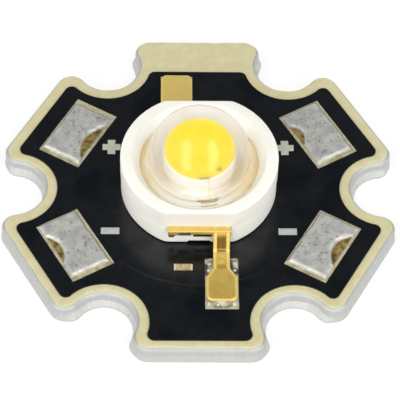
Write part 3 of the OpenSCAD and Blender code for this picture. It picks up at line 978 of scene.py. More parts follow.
    def laminate(self) -> None:
        """Builds the cream laminate: its edge, drawn down by the punch, is a quarter ellipse on a low side."""
        low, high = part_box("insulation_layer")
        quarter = np.linspace(0, math.pi / 2, 9)
        foot = low.z - self.laminate_sink
        height = np.concatenate([[foot], high.z - self.laminate_drop * (1 - np.sin(quarter)), [high.z]])
        inset = self.roll_width + self.laminate_draw * np.concatenate([[0], 1 - np.cos(quarter), [1.5]])
        wander = self.laminate_wander * waves(self.along[:-1], self.along[-1], (11, 29, 43, 71), 12)
        form = Form("laminate")
        form.tube(self.carried(inset[:, None] + wander[None], height[:, None]), flat_ends=True)
        place(form.build(self.finishes.insulation), Slot.INSULATION, "insulation_layer")

    def tracks(self) -> None:
        """Builds the low ridges that the copper tracks raise in the lacquer, one arc for each pole."""
        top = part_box("solder_mask")[1].z
        shift = 0.5 * (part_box("copper_cathode")[0].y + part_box("copper_anode")[1].y)
        form = Form("track_ridges")
        across = np.linspace(-self.track_soft, self.track_width + self.track_soft, 25)
        sweep = math.radians(self.track_sweep_deg)
        for middle in (-math.pi / 2, math.pi / 2):
            angle = np.linspace(middle - sweep, middle + sweep, 160)
            radius = self.track_inner + across
            rise = plateau(across, 0, self.track_width, self.track_soft)[:, None]
            rise = rise * plateau(angle - middle, -sweep, sweep, self.track_fade)[None] * self.track_rise
            sunk = top + rise - 0.1 * self.track_rise
            grid = np.stack([radius[:, None] * np.cos(angle), radius[:, None] * np.sin(angle) + shift, sunk], -1)
            form.plot(grid, top - self.track_rise)
        place(form.build(self.finishes.mask), Slot.MASK)

    def polarity_bar(self) -> None:
        """Builds the film on the bare polarity window: tarnished in its middle and bright at its two ends."""
        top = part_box("solder_mask")[1].z
        half_x, half_y = self.window_half
        x, y = np.meshgrid(np.linspace(-half_x, half_x, 40), np.linspace(-half_y, half_y, 16), indexing="ij")
        ends = ease(np.abs(x), 0.72 * half_x, 0.92 * half_x)
        tarnish = (0.75 + 0.25 * grain(x, y, 0.12 * MM, 25)) * (1 - ends)
        height = top - self.film_drop + self.film_rough * grain(x, y, 0.1 * MM, 26)
        form = Form("polarity_film")
        spots = np.stack([x - self.window_x, y - self.window_y, height], -1)
        form.plot(spots, top - self.film_foot, {"glue": tarnish})
        place(form.build(self.finishes.film), Slot.INSULATION)

    def mark(self, label: str) -> None:
        """Builds a printed plus or minus: flat ink with soft, slightly uneven edges, sunk into the lacquer elsewhere.

        The distance in from the edge is that of one bar for a minus, and the larger of two bars' for a plus.

        Args:
            label: Node of the mark.
        """
        low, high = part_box(label)
        middle = 0.5 * (low + high)
        plus = label.startswith("plus")
        columns = 72 if plus else 32
        x, y = np.meshgrid(np.linspace(low.x, high.x, 72), np.linspace(low.y, high.y, columns), indexing="ij")
        half_x, half_y = high.x - middle.x, high.y - middle.y
        into = lambda a, b: np.minimum(a - np.abs(x - middle.x), b - np.abs(y - middle.y))
        edge = into(half_x, half_y)
        if plus:
            edge = np.maximum(into(half_x, self.stroke_half), into(self.stroke_half, half_y))
        thick = (0.25 + 0.75 * ease(edge, 0, self.ink_soft)) * (1 - 0.1 * np.abs(grain(x, y, 0.1 * MM, 21)))
        height = np.where(edge > -1e-9, thick, -0.3) * (high.z - low.z)
        form = Form(f"printed_{label}")
        form.plot(np.stack([x, y, low.z + height], -1), low.z - 0.4 * (high.z - low.z))
        # Plus marks take the lighter ink copy: painted light.
        place(form.build(self.finishes.painted_light_ink if plus else self.finishes.ink), Slot.INK, label)


class FluxSide(Enum):
    """Long edge of a wire pad that a pool of flux lies against."""

    INNER = -1
    OUTER = 1


@dataclass
class WirePad:
    """One tinned wire pad: solder drawn back from its borders, with a bay that holds flux.

    X runs out along the arm and Y across it. The four borders are the widths of bare tin at the inner, outer, low-Y
    and high-Y edges.
    """

    node: str
    angle_deg: float
    flux_side: FluxSide
    flux_from: float
    flux_to: float
    flux_depth: float
    borders: tuple[float, float, float, float]
    seed: int
    length: float = 2.37 * MM
    width: float = 3.9 * MM
    lip: float = 0.26 * MM
    film: float = 0.025 * MM
    pits: int = 34
    pit_spread: float = 0.36
    pit_sizes: tuple[float, float] = (0.025, 0.065)
    pit_depth: float = 0.012 * MM
    frost_depth: float = 0.003 * MM
    flux_rise: float = 0.03 * MM
    rows: int = 96
    columns: int = 150

    def heights(self, x: Array, y: Array, crown: float) -> tuple[Array, dict[str, Array]]:
        """Works out the solder's height above the lacquer and where tin, flux and pits show, with a painted shade
        line along the borders that face away from the lamps and a painted warm tint on the bare tin that faces them.

        The distance in from the nearest border or from the bay's edge, a half wave, wandered a little, drives a
        quarter-ellipse lip up to a gently crowned top. Pits are small round dents.

        Args:
            x, y: Places on the pad.
            crown: Height of the solder's top.

        Returns:
            The heights, and the marks by name.
        """
        inner, outer, low_y, high_y = self.borders
        wander = 0.05 * MM * grain(x, y, 0.5 * MM, self.seed) + 0.02 * MM * grain(x, y, 0.2 * MM, self.seed + 1)
        side = self.flux_side.value
        middle = 0.5 * (self.flux_from + self.flux_to)
        reach = 0.5 * (self.flux_to - self.flux_from)
        bay = self.flux_depth * np.cos(np.clip((y - middle) / reach, -1, 1) * math.pi / 2) ** 0.7
        from_side = self.length / 2 - side * x
        to_bay = np.where(np.abs(y - middle) < reach, (from_side - bay) * 0.85, from_side)
        gap = np.minimum(np.minimum(x + self.length / 2 - inner, self.length / 2 - outer - x),
                         np.minimum(y + self.width / 2 - low_y, self.width / 2 - high_y - y))
        gap = np.minimum(gap, to_bay) + wander
        lip = np.sqrt(1 - (1 - np.clip(gap / self.lip, 0, 1)) ** 2)
        swell = 1 - 0.35 * (2 * x / self.length) ** 2 - 0.2 * (2 * y / self.width) ** 2
        height = self.film + (crown - self.film) * lip * (0.72 + 0.28 * swell)
        rng = np.random.default_rng(self.seed + 2)
        pit = np.zeros_like(x)
        for _ in range(self.pits):
            at = rng.uniform(-self.pit_spread, self.pit_spread, 2) * [self.length, self.width]
            size = rng.uniform(*self.pit_sizes) * MM
            dent = np.exp(-((x - at[0]) ** 2 + (y - at[1]) ** 2) / size**2)
            pit = np.maximum(pit, dent * rng.uniform(0.5, 1.0))
        frost = self.frost_depth * grain(x, y, 0.15 * MM, self.seed + 3)
        height = height - self.pit_depth * pit * lip + frost * lip
        slope_x, slope_y = np.gradient(gap, x[:, 0], y[0])
        a = math.radians(self.angle_deg)
        far = -(slope_x * math.sin(a) + slope_y * math.cos(a))
        # Painted shade: a dark line at the solder's border on the sides that face away from the lamps.
        far_edge_shade = plateau(gap, -0.05 * MM, 0.03 * MM, 0.05 * MM) * ease(far, 0.0, 0.5)
        in_bay = plateau(y, self.flux_from, self.flux_to, 0.12 * MM)
        in_bay = in_bay * (1 - ease(from_side - bay, -0.05 * MM, 0.05 * MM))
        flux = in_bay * (1 - ease(gap, 0, 0.06 * MM)) * ease(from_side, 0.1 * MM, 0.18 * MM)
        tin = (1 - ease(gap, -0.02 * MM, 0.05 * MM)) * (1 - flux)
        height = height + flux * self.flux_rise
        # Painted warm tint on the bare tin of the borders that face the lamps.
        painted_warm_tint = 0.45 * tin * ease(-far, 0.2, 0.7) * ease(grain(x, y, 0.25 * MM, self.seed + 4), -0.6, 0.4)
        pit = np.maximum(pit * ease(gap, 0, 0.1 * MM), 0.7 * far_edge_shade)
        return height, {"tin": tin, "flux": np.maximum(flux, painted_warm_tint), "pit": pit}

    def build(self, finishes: Finishes) -> None:
        """Builds the pad's solder as a height field turned onto its arm.

        Args:
            finishes: The part's materials.
        """
        low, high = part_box(self.node)
        mask_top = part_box("solder_mask")[1].z
        x, y = np.meshgrid(np.linspace(-0.5, 0.5, self.rows) * self.length,
                           np.linspace(-0.5, 0.5, self.columns) * self.width, indexing="ij")
        height, marks = self.heights(x, y, high.z - mask_top)
        a = math.radians(self.angle_deg)
        centre = 0.5 * (low + high)
        grid = np.stack([centre.x + x * math.cos(a) - y * math.sin(a), centre.y + x * math.sin(a) + y * math.cos(a),
                         mask_top + height], -1)
        form = Form(f"tinned_{self.node}")
        form.plot(grid, low.z, marks)
        place(form.build(finishes.solder, 60), Slot.SOLDER, self.node)


@dataclass
class Lead:
    """One stamped lead: the tab in the body's flat, the bent neck, the foot, the strip inside and the solder.

    P is the distance out from the emitter's axis and X runs across, as on the cathode side. The anode's lead is the
    same one turned half round.
    """

    node: str
    solder_node: str
    turn: int
    thickness: float = 0.25 * MM
    neck_x: float = 1.12 * MM
    neck_half: float = 0.42 * MM
    foot_half: float = 0.8 * MM
    foot_start: float = 5.35 * MM
    shoulder: float = 0.58 * MM
    tip_radius: float = 0.34 * MM
    tab_half: float = 1.595 * MM
    tab_tip: float = 3.94 * MM
    tab_root: float = 2.7 * MM
    tab_soft: float = 0.045 * MM
    lip_drop: float = 0.06 * MM
    lip_bay: float = 0.14 * MM
    lip_flash: float = 0.1 * MM
    lip_wander: float = 0.012 * MM
    slope: float = 0.42 * MM
    heel_rise: float = 0.1 * MM
    heel_length: float = 0.5 * MM
    bend_radius: float = 0.2 * MM
    heel_radius: float = 0.3 * MM
    edge_radius: float = 0.06 * MM
    side_share: float = 0.9
    rim: float = 0.012 * MM
    tip_thin: float = 0.45
    tip_thin_run: float = 0.05 * MM
    post_x: float = 0.4 * MM
    post_half: float = 0.55 * MM
    post_reach: float = 1.75 * MM
    pad_p: float = 2.12 * MM
    pad_half: tuple[float, float] = (0.46 * MM, 0.31 * MM)
    pad_drop: float = 0.02 * MM
    pad_rough: float = 0.015 * MM
    floor_drop: float = 0.85 * MM
    fillet: float = 0.13 * MM
    fillet_run: float = 0.09 * MM
    solder_film: float = 0.02 * MM
    solder_rough: float = 0.01 * MM
    polish: float = 0.0

    def section(self) -> tuple[Array, Array, Array]:
        """Describes a cross-section: a rounded bar with a faint raised rim along its upper edges.

        Returns:
            For each point the share of the half width, the distance back from that edge, and the height from the
            middle of the thickness.
        """
        radius = self.edge_radius
        arc = np.linspace(0, math.pi / 2, 6)
        half = self.thickness / 2
        side_edge = radius * (1 - np.cos(arc))
        side_height = half - radius + radius * np.sin(arc)
        rim_edge = np.array([1.5, 2.0, 3.0]) * radius
        rim_height = half + self.rim * np.array([1.0, 0.7, 0.0])
        top_share = np.linspace(0.5, -0.5, 9)
        top_edge = np.zeros_like(top_share)
        edge = np.concatenate([side_edge, rim_edge, top_edge, rim_edge[::-1], side_edge[::-1],
                               side_edge, [0], side_edge[::-1]])
        side = np.ones_like(arc)
        upper = np.ones(len(arc) + len(rim_edge))
        share = np.concatenate([upper, top_share, -upper, -side, [0.0], side])
        height = np.concatenate([side_height, rim_height, top_edge + half, rim_height[::-1], side_height[::-1],
                                 -side_height, [-half], -side_height[::-1]])
        return share, edge, height

    def turned(self, x: Array, p: Array, z: Array) -> Array:
        """Turns places across, out and up into points on this lead's side of the emitter."""
        return np.stack(np.broadcast_arrays(x * self.turn, -p * self.turn, z), -1)

    def strip(self, form: Form, path: Array, half_width: Array, middle: float, squeeze: Array) -> None:
        """Carries the section along a path of P and height, square to it.

        Args:
            form: Form that the strip joins.
            path: Points of P and height.
            half_width: Half the width at each point.
            middle: X of the strip's centre line.
            squeeze: Share of the thickness at each point.
        """
        way = np.gradient(path, axis=0)
        way /= np.linalg.norm(way, axis=1, keepdims=True)
        up = np.stack([-way[:, 1], way[:, 0]], -1)
        share, edge, height = self.section()
        x = middle + share[None] * half_width[:, None] - np.sign(share)[None] * edge[None]
        lift = height[None] * squeeze[:, None]
        p = path[:, :1] + up[:, :1] * lift
        z = path[:, 1:] + up[:, 1:] * lift
        marks = {label: values[:, ::-1] for label, values in self.strip_marks(path, share, edge).items()}
        form.tube(self.turned(x, p, z)[:, ::-1], marks=marks)

    def strip_marks(self, path: Array, share: Array, edge: Array) -> dict[str, Array]:
        """Says where a strip's plating is paler or darker.

        The edges and the far end are paler, partly by wear and partly as painted highlights, and a painted glint lies
        before the foot. The bent neck is streaked with painted shade, most at the crease of its heel, and a faint
        band of painted shade crosses the foot's shoulders.

        Args:
            path: Points of P and height.
            share: Share of the half width at each point of the section.
            edge: Distance back from that edge.

        Returns:
            The marks by name.
        """
        near_side = np.abs(share) > self.side_share
        worn = np.where(edge < 2.5 * self.edge_radius, near_side, 0.0)[None]
        worn = np.maximum(worn * 0.9, 0.35 * ease(path[:, :1], path[-1, 0] - 0.12 * MM, path[-1, 0] - 0.06 * MM))
        worn = np.maximum(worn, self.polish)
        fallen = (path[0, 1] - path[:, 1:]) / max(path[0, 1] - path[-1, 1], 0.01 * MM)
        inside = np.abs(share)[None] < self.side_share
        # Painted shade on the steep neck and in the heel's crease, and a painted shade band across the foot's
        # shoulders.
        crease_shade = plateau(fallen, 0.86, 0.93, 0.04)
        streak = np.random.default_rng(83).uniform(0.6, 1.0, len(share))[None]
        neck_shade = ease(fallen, 0.02, 0.3) * (1 - 0.6 * ease(fallen, 0.74, 0.84)) * (1 - ease(fallen, 0.93, 0.97))
        shoulder_shade = 0.35 * plateau(path[:, :1], self.foot_start - 0.2 * MM, self.foot_start + 0.05 * MM, 0.12 * MM)
        dull = np.maximum(np.maximum(neck_shade * streak, 0.95 * crease_shade), shoulder_shade) * inside * (1 - self.polish)
        # Painted highlight on the lead just before the foot.
        painted_glint = plateau(path[:, :1], self.foot_start - 0.46 * MM, self.foot_start - 0.3 * MM, 0.2 * MM)
        painted_glint = 0.8 * painted_glint * np.clip(1 - 2 * np.abs(share), 0, 1)[None]
        return {"worn": np.maximum(worn * (1 - 0.8 * dull), painted_glint), "dull": dull}

    def tab(self, form: Form, low: float, high: float) -> None:
        """Carries the tab's section along X: a bar with round corners whose lower lip hangs unevenly.

        Args:
            form: Form that the tab joins.
            low: Height of its underside.
            high: Height of its top.
        """
        x = np.concatenate([[-1.0, -0.99], np.linspace(-0.975, 0.975, 72), [0.99, 1.0]]) * self.tab_half
        tuck = np.concatenate([[0.03, 0.008], np.zeros(72), [0.008, 0.03]]) * MM
        arc = np.linspace(0, math.pi / 2, 5)
        soft = self.tab_soft
        front = self.tab_tip - soft
        root = np.linspace(self.tab_root, front, 5)
        p = np.concatenate([root, front + soft * np.sin(arc[1:]), front + soft * np.cos(arc), root[-2::-1]])
        z = np.concatenate([np.full_like(root, high), high - soft + soft * np.cos(arc[1:]),
                            low + soft - soft * np.sin(arc), np.full_like(root[1:], low)])
        lip = self.lip_drop + self.lip_wander * waves(x, 4 * MM, (5, 9, 14), 61)
        lip = lip - self.lip_bay * plateau(x, -1.07 * MM, -0.44 * MM, 0.1 * MM)
        lip = lip + self.lip_flash * plateau(x, -1.5 * MM, -1.18 * MM, 0.16 * MM)
        hang = np.where(z < 0.5 * (low + high), 1.0, 0.0)[None] * lip[:, None]
        middle = 0.5 * (low + high)
        z = z[None] - hang
        z = np.where(z > middle, z - tuck[:, None], z + tuck[:, None])
        # The nose is paler, partly a painted highlight, and painted shade darkens the hanging lower lip above the
        # gaps.
        worn = np.broadcast_to((p > front) * 0.6, z.shape)
        dull = 0.7 * ease(low + 0.04 * MM - z, 0, 0.06 * MM)
        form.tube(self.turned(x[:, None], p[None] - tuck[:, None], z)[:, ::-1],
                  marks={"worn": worn[:, ::-1] * (1 - dull[:, ::-1]), "dull": dull[:, ::-1]})

    def bond_pad(self, form: Form, low: float) -> None:
        """Adds the raised pad that the bond wire lands on: a low field with uneven patches, paler as painted light
        against the shade of its recess.

        Args:
            form: Form that the pad joins.
            low: Height of its underside.
        """
        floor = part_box("emitter_body")[1].z - self.floor_drop
        half_x, half_p = self.pad_half
        x, p = np.meshgrid(np.linspace(-half_x, half_x, 30), np.linspace(-half_p, half_p, 18), indexing="ij")
        uneven = grain(x, p, 0.13 * MM, 71)
        top = floor - self.pad_drop + self.pad_rough * uneven
        grid = self.turned(self.post_x + x, self.pad_p + p, top)
        # Paler patches: painted light that lifts the pad out of its recess's shade.
        patches = grain(x, p, 0.2 * MM, 73)
        worn = np.clip(0.5 + 2 * patches, 0, 1)
        dull = np.clip(-patches, 0, 0.15)
        form.plot(grid[:, ::-1], low, {"worn": worn[:, ::-1], "dull": dull[:, ::-1]})

    def foot_width(self, p: Array, tip: float) -> Array:
        """Gives half the lead's width along the foot: neck, slanted shoulders, sides and the tip's round corners.

        Args:
            p: Distances out from the emitter's axis.
            tip: Distance of the foot's tip.

        Returns:
            Half the width at each distance.
        """
        wide = np.interp(p, [self.foot_start, self.foot_start + self.shoulder], [self.neck_half, self.foot_half])
        into = np.clip((p - (tip - self.tip_radius)) / self.tip_radius, 0, 1)
        return wide - self.tip_radius * (1 - np.sqrt(1 - into**2))

    def build(self, finishes: Finishes) -> None:
        """Builds the lead with its tab, neck, foot and inner strip, and its solder.

        Args:
            finishes: The part's materials.
        """
        low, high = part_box(self.node)
        mid = self.thickness / 2
        tip = max(abs(low.y), abs(high.y))
        tab_z = high.z - mid
        foot_z = low.z + mid
        bend = self.tab_tip - mid
        form = Form(f"gold_{self.node}")
        corners = [(self.tab_root, tab_z, 0.0), (bend, tab_z, self.bend_radius),
                   (bend + self.slope, foot_z + self.heel_rise, self.heel_radius),
                   (bend + self.slope + self.heel_length, foot_z, self.heel_radius), (tip, foot_z, 0.0)]
        path = rounded(corners, 0.06 * MM, 10)
        ends = tip - self.tip_radius * (1 - np.cos(np.linspace(0, math.pi / 2, 9)))
        tip_path = np.stack([ends[::-1], np.full_like(ends, foot_z)], -1)
        path = np.concatenate([path[path[:, 0] < ends[-1] - 0.02 * MM], tip_path])
        squeeze = 1 - self.tip_thin * ease(path[:, 0], tip - self.tip_thin_run, tip)
        self.strip(form, path, self.foot_width(path[:, 0], tip), self.neck_x, squeeze)
        self.tab(form, tab_z - mid, tab_z + mid)
        self.bond_pad(form, tab_z)
        run = np.linspace(self.post_reach, self.tab_root + 0.2 * MM, 10)
        even = np.ones_like(run)
        self.strip(form, np.stack([run, tab_z * even], -1), self.post_half * even, self.post_x, even)
        place(form.build(finishes.gold), Slot.GOLD, self.node)
        self.solder(finishes, tip, low.z)

    def solder(self, finishes: Finishes, tip: float, foot_low: float) -> None:
        """Builds the solder round the foot: a fillet that dies away from the foot's outline, with a few bright lumps.

        The fillet falls off as an exponential of the distance from the outline, and each lump is a round bell.

        Args:
            finishes: The part's materials.
            tip: Distance of the foot's tip from the emitter's axis.
            foot_low: Height of the foot's underside.
        """
        low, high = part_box(self.solder_node)
        mask_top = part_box("solder_mask")[1].z
        x, y = np.meshgrid(np.linspace(low.x, high.x, 70), np.linspace(low.y, high.y, 120), indexing="ij")
        across = x * self.turn - self.neck_x
        p = -y * self.turn
        beyond = np.maximum(p - tip + self.tip_radius, 0)
        beside = np.abs(across) - self.foot_width(np.minimum(p, tip - self.tip_radius), tip)
        corner = np.hypot(np.maximum(beside + self.tip_radius, 0), beyond) - self.tip_radius
        gap = np.where(beyond > 0, corner, beside)
        edge = np.minimum(np.minimum(x - low.x, high.x - x), np.minimum(y - low.y, high.y - y))
        height = self.solder_film + self.fillet * np.exp(-np.maximum(gap, 0) / self.fillet_run)
        lumps = ((-0.66, 0.10, 0.09, 0.10), (-0.2, 0.16, 0.08, 0.08), (0.22, 0.13, 0.07, 0.06),
                 (0.62, 0.11, 0.10, 0.11), (-0.66, -1.95, 0.10, 0.10), (0.66, -1.95, 0.10, 0.10),
                 (-0.62, -2.35, 0.12, 0.07), (0.68, -2.4, 0.12, 0.08))
        bright = np.zeros_like(x)
        for lump_x, lump_p, size, rise in lumps:
            away = (across - lump_x * MM) ** 2 + (p - tip - lump_p * MM) ** 2
            lump = np.exp(-away / (size * MM) ** 2)
            height = height + rise * MM * lump
            bright = np.maximum(bright, lump)
        rough = self.solder_rough * grain(x, y, 0.09 * MM, 40)
        height = height * ease(edge, -0.02 * MM, 0.1 * MM) + rough * ease(edge, 0, 0.1 * MM)
        under = ease(-gap, 0.0, 0.05 * MM)
        height = height * (1 - under) + (foot_low + 0.08 * MM - mask_top) * under
        form = Form(f"tinned_{self.solder_node}")
        bright = ease(bright, 0.25, 0.6)
        tin = np.maximum(1 - ease(edge, 0.03 * MM, 0.09 * MM), 0.4) * (1 - bright)
        flux = ease(grain(x, y, 0.2 * MM, 47), -0.5, 0.5) * ease(edge, 0.02 * MM, 0.08 * MM) * (1 - bright)
        burnt = ease(grain(x, y, 0.3 * MM, 53), -0.7, 0.1) * (1 - bright)
        burnt = burnt * (1 - ease(p, tip - 1.75 * MM, tip - 1.5 * MM))
        form.plot(np.stack([x, y, mask_top + height], -1), low.z,
                  {"tin": tin, "flux": 0.85 * flux, "burnt": 0.9 * burnt})
        place(form.build(finishes.solder, 60), Slot.SOLDER, self.solder_node)


@dataclass
class BodyPoints:
    """Points of the white body as rows by columns, with what each belongs to.

    Side is 1 on the cathode's half and -1 on the anode's. Outer and inner tell the rows of the outer wall from those
    inside.
    """

    angle: Array
    reach: Array
    x: Array
    y: Array
    z: Array
    side: Array
    outer: Array
    inner: Array
    on_flat: Array
    on_floor: Array


@dataclass
class Emitter:
    """The domed package: white body, slug with its cup, phosphor, clear dome and the sealant round it."""

    finishes: Finishes
    columns: int = 640
    flat_half: float = 3.64 * MM
    corner_sharpness: float = 120.0
    mouth_radius: float = 3.43 * MM
    seat_radius: float = 2.95 * MM
    seat_drop: float = 0.66 * MM
    well_radius: float = 2.55 * MM
    floor_drop: float = 0.85 * MM
    stem_radius: float = 1.4 * MM
    slug_radius: float = 2.75 * MM
    slug_height: float = 0.75 * MM
    rim_round: float = 0.11 * MM
    mouth_round: float = 0.07 * MM
    foot_round: float = 0.08 * MM
    parting_step: float = 0.03 * MM
    flat_reach: float = 0.94
    relief_half: float = 0.575 * MM
    relief_height: float = 0.16 * MM
    relief_soft: float = 0.04 * MM
    pocket_depth: float = 0.55 * MM
    pocket_boxes_mm: tuple[tuple[float, float, float, float], ...] = (
        (-1.52, -1.30, 1.68, 1.86), (-1.07, -0.44, 1.83, 2.12), (-0.28, 0.62, 1.72, 1.96))
    cup_foot: float = 1.13 * MM
    cup_brim: float = 1.32 * MM
    cup_wall: float = 0.08 * MM
    cup_depth: float = 0.55 * MM
    cup_floor: float = 0.8 * MM
    brim_round: float = 0.035 * MM
    fill_reach: float = 0.97
    nick_x: float = 0.77 * MM
    nick_y: float = -0.73 * MM
    nick_radius: float = 0.1 * MM
    nick_depth: float = 0.02 * MM
    dome_radius: float = 2.6 * MM
    flange_height: float = 0.3 * MM
    skin: float = 0.004 * MM
    window_x: float = 0.4 * MM
    window_p: float = 2.12 * MM
    window_half: tuple[float, float] = (0.5 * MM, 0.34 * MM)
    anode_window: tuple[float, float] = (0.36, 0.6)
    wire_radius: float = 0.0125 * MM
    wire_start: float = 0.4 * MM
    bead_columns: int = 360
    bead_lump_deg: float = 328.0
    bead_lump_width: float = 0.07
    pole_radius: float = 1e-6 * MM
    foot_z: float = field(init=False)
    rim_z: float = field(init=False)
    radius: float = field(init=False)
    seat_z: float = field(init=False)
    floor_z: float = field(init=False)
    slug_z: float = field(init=False)
    brim_z: float = field(init=False)
    lead_top: float = field(init=False)

    def build(self) -> None:
        """Reads the heights from the frame and builds every piece."""
        low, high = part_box("emitter_body")
        self.foot_z = low.z
        self.rim_z = high.z
        self.radius = high.x
        self.seat_z = self.rim_z - self.seat_drop
        self.floor_z = self.rim_z - self.floor_drop
        self.slug_z, self.brim_z = (corner.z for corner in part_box("heat_slug"))
        self.lead_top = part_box("cathode_lead")[1].z
        self.body()
        self.slug()
        self.phosphor()
        self.dome()
        self.sealant()
        dress("slug_solder", self.finishes.solder)
        dress("die_attach", self.finishes.slug)
        dress("led_chip", self.finishes.chip)
        self.wire("bond_wire_cathode", 1)
        self.wire("bond_wire_anode", -1)

    def body_rows(self, angle: Array) -> tuple[Array, Array, int]:
        """Lays out the body's rows: up the outer wall, over the rim, down the mouth to the floor and under it.

        An outer row lies at an inset from the outer outline, a circle cut by two flats and softened by a power mean.
        An inner row is a plain circle.

        Args:
            angle: Angles of the columns.

        Returns:
            Radius and height of each point, and the number of outer rows.
        """
        power = self.corner_sharpness
        flat = self.flat_half / np.maximum(np.abs(np.sin(angle)), 1e-6)
        outer = (self.radius**-power + flat**-power) ** (-1 / power)
        quarter = np.linspace(0, math.pi / 2, 7)
        bottom, top = self.foot_z, self.rim_z
        wall = np.concatenate([np.linspace(bottom + self.foot_round, bottom + 0.3 * MM, 6)[1:],
                               np.linspace(bottom + 0.32 * MM, bottom + 0.8 * MM, 30),
                               np.linspace(bottom + 0.84 * MM, self.lead_top, 8),
                               np.linspace(self.lead_top + 0.015 * MM, top - self.rim_round, 12)[:-1]])
        outer_z = np.concatenate([bottom + self.foot_round * (1 - np.cos(quarter)), wall,
                                  top - self.rim_round * (1 - np.sin(quarter))])
        outer_inset = np.concatenate([self.foot_round * (1 - np.sin(quarter)), np.zeros_like(wall),
                                      self.rim_round * (1 - np.cos(quarter))])
        outer_inset = outer_inset + self.parting_step * (outer_z < self.lead_top + 0.005 * MM)
        rim_middle = 0.5 * (self.mouth_radius + self.flat_half - self.rim_round)
        shelf = self.slug_z + self.slug_height
        visible = rounded([(rim_middle, top, 0), (self.mouth_radius, top, self.mouth_round),
                           (self.seat_radius, self.seat_z, 0.03 * MM), (self.well_radius, self.seat_z, 0.05 * MM),
                           (self.well_radius, self.floor_z, 0.05 * MM), (self.stem_radius, self.floor_z, 0)],
                          0.05 * MM)
        hidden = np.array([[self.stem_radius, shelf], [self.slug_radius, shelf], [self.slug_radius, bottom]])
        inner = np.concatenate([visible, hidden])
        level = np.ones((1, self.columns))
        reach = np.concatenate([outer[None] - outer_inset[:, None], inner[:, :1] * level])
        z = np.concatenate([outer_z[:, None] * level, inner[:, 1:] * level])
        return reach, z, len(outer_z)

    def body(self) -> None:
        """Builds the white body as one closed ring of rows.

        The flats carry shallow pockets under the tab and a relief at the foot, and the floor has a window over each
        lead.
        """
        angle = np.linspace(0, 2 * np.pi, self.columns, endpoint=False)
        reach, z, outer_rows = self.body_rows(angle)
        row = np.arange(len(z))[:, None]
        x = reach * np.cos(angle)
        y = reach * np.sin(angle)
        side = np.where(y < 0, 1.0, -1.0)
        on_flat = (row < outer_rows) & (np.abs(y) > self.flat_reach * self.flat_half)
        pocket = self.pockets(x * side, z) * on_flat
        relief = plateau(x, -self.relief_half, self.relief_half, self.relief_soft) * on_flat
        z = np.maximum(z, (self.foot_z + self.relief_height * relief) * on_flat)
        y = y + side * pocket
        half_x = np.where(side > 0, self.window_half[0], self.anode_window[0] * self.window_half[0])
        half_p = np.where(side > 0, self.window_half[1], self.anode_window[1] * self.window_half[1])
        window = plateau((x * side - self.window_x) / half_x, -1, 1, 0.1)
        window = window * plateau((-y * side - self.window_p) / half_p, -1, 1, 0.2)
        on_floor = np.isclose(z, self.floor_z, atol=0.03 * MM) & (reach < self.well_radius)
        z = z - window * on_floor * (self.floor_z - self.lead_top + 0.02 * MM)
        points = BodyPoints(angle, reach, x, y, z, side, row < outer_rows, row > outer_rows, on_flat, on_floor)
        form = Form("white_body")
        form.tube(np.stack([x, y, z], -1), loop=True, marks=self.body_marks(points))
        place(form.build(self.finishes.body), Slot.BODY, "emitter_body")

    def body_marks(self, at: BodyPoints) -> dict[str, Array]:
        """Says where the white body is tinted and where shade is painted on it.

        Glue crept up the well's wall at its two sides; the tan tint on the floor and mouth is partly glue stain and
        partly painted warm light reflected from the phosphor, and the tint shows golden in front of the bond pad.
        Painted shade lies in the pockets, along the joint lines of the floor, towards the back of the floor and high
        on the outer wall of the flats.

        Args:
            at: The body's points.

        Returns:
            The marks by name.
        """
        within = at.inner & (at.z > self.floor_z - 0.03 * MM) & (at.reach > 1.02 * self.stem_radius)
        crept = within & (at.z < self.seat_z + 0.15 * MM) & (at.reach > 0.9 * self.well_radius)
        sides = np.abs(np.cos(at.angle))[None] ** 1.5
        patchy = np.clip(0.8 + 0.3 * waves(at.angle, 2 * np.pi, (3, 7, 12), 9), 0, 1)[None]
        # Tan tint on the floor and mouth: partly glue stain, partly painted warm light reflected from the phosphor.
        stain = 0.08 * (at.y < 0) + (0.55 + 0.2 * np.cos(at.angle)) * sides * (at.reach < self.seat_radius)
        at_wall = within & (at.side > 0) & (at.reach > 0.97 * self.well_radius) & (at.z < self.seat_z + 0.02 * MM)
        below = at.z < self.seat_z - 0.04 * MM
        above = at.z > self.seat_z - 0.04 * MM
        gilt = at_wall * below * plateau(at.x, -0.1 * MM, 0.85 * MM, 0.2 * MM)
        line = at_wall * above * (at.reach < 1.05 * self.well_radius) * plateau(at.x, 0.05 * MM, 0.9 * MM, 0.15 * MM)
        # Painted shade along the floor's joint lines and its corner with the wall, and a floor darker towards the
        # back.
        joint = plateau(at.reach, 1.4 * MM, 1.62 * MM, 0.1 * MM) + plateau(at.reach, 2.3 * MM, 2.52 * MM, 0.12 * MM)
        floor_shade = within * np.maximum(0.09 * joint * at.on_floor, 0.08 * ease(at.y, 0.5 * MM, 1.5 * MM))
        # Painted shade high on the flats' outer wall, which the lamps light less than the top.
        shaded = at.outer * ease(at.z, self.lead_top - 0.1 * MM, self.lead_top + 0.1 * MM)
        shaded = shaded * (at.z < self.rim_z - 0.5 * self.rim_round) * np.abs(np.sin(at.angle))[None] ** 3
        # Painted shade in the pockets under the tab.
        pocket = ease(self.pockets(at.x * at.side, at.z, 0.02 * MM) * at.on_flat, 0.1 * MM, 0.3 * MM)
        glue = np.maximum.reduce([0.75 * crept * sides * patchy, within * stain, gilt, line])
        soil = np.maximum.reduce([pocket, 0.2 * gilt, 0.4 * line, floor_shade, 0.17 * shaded])
        return {"soil": soil, "glue": glue}

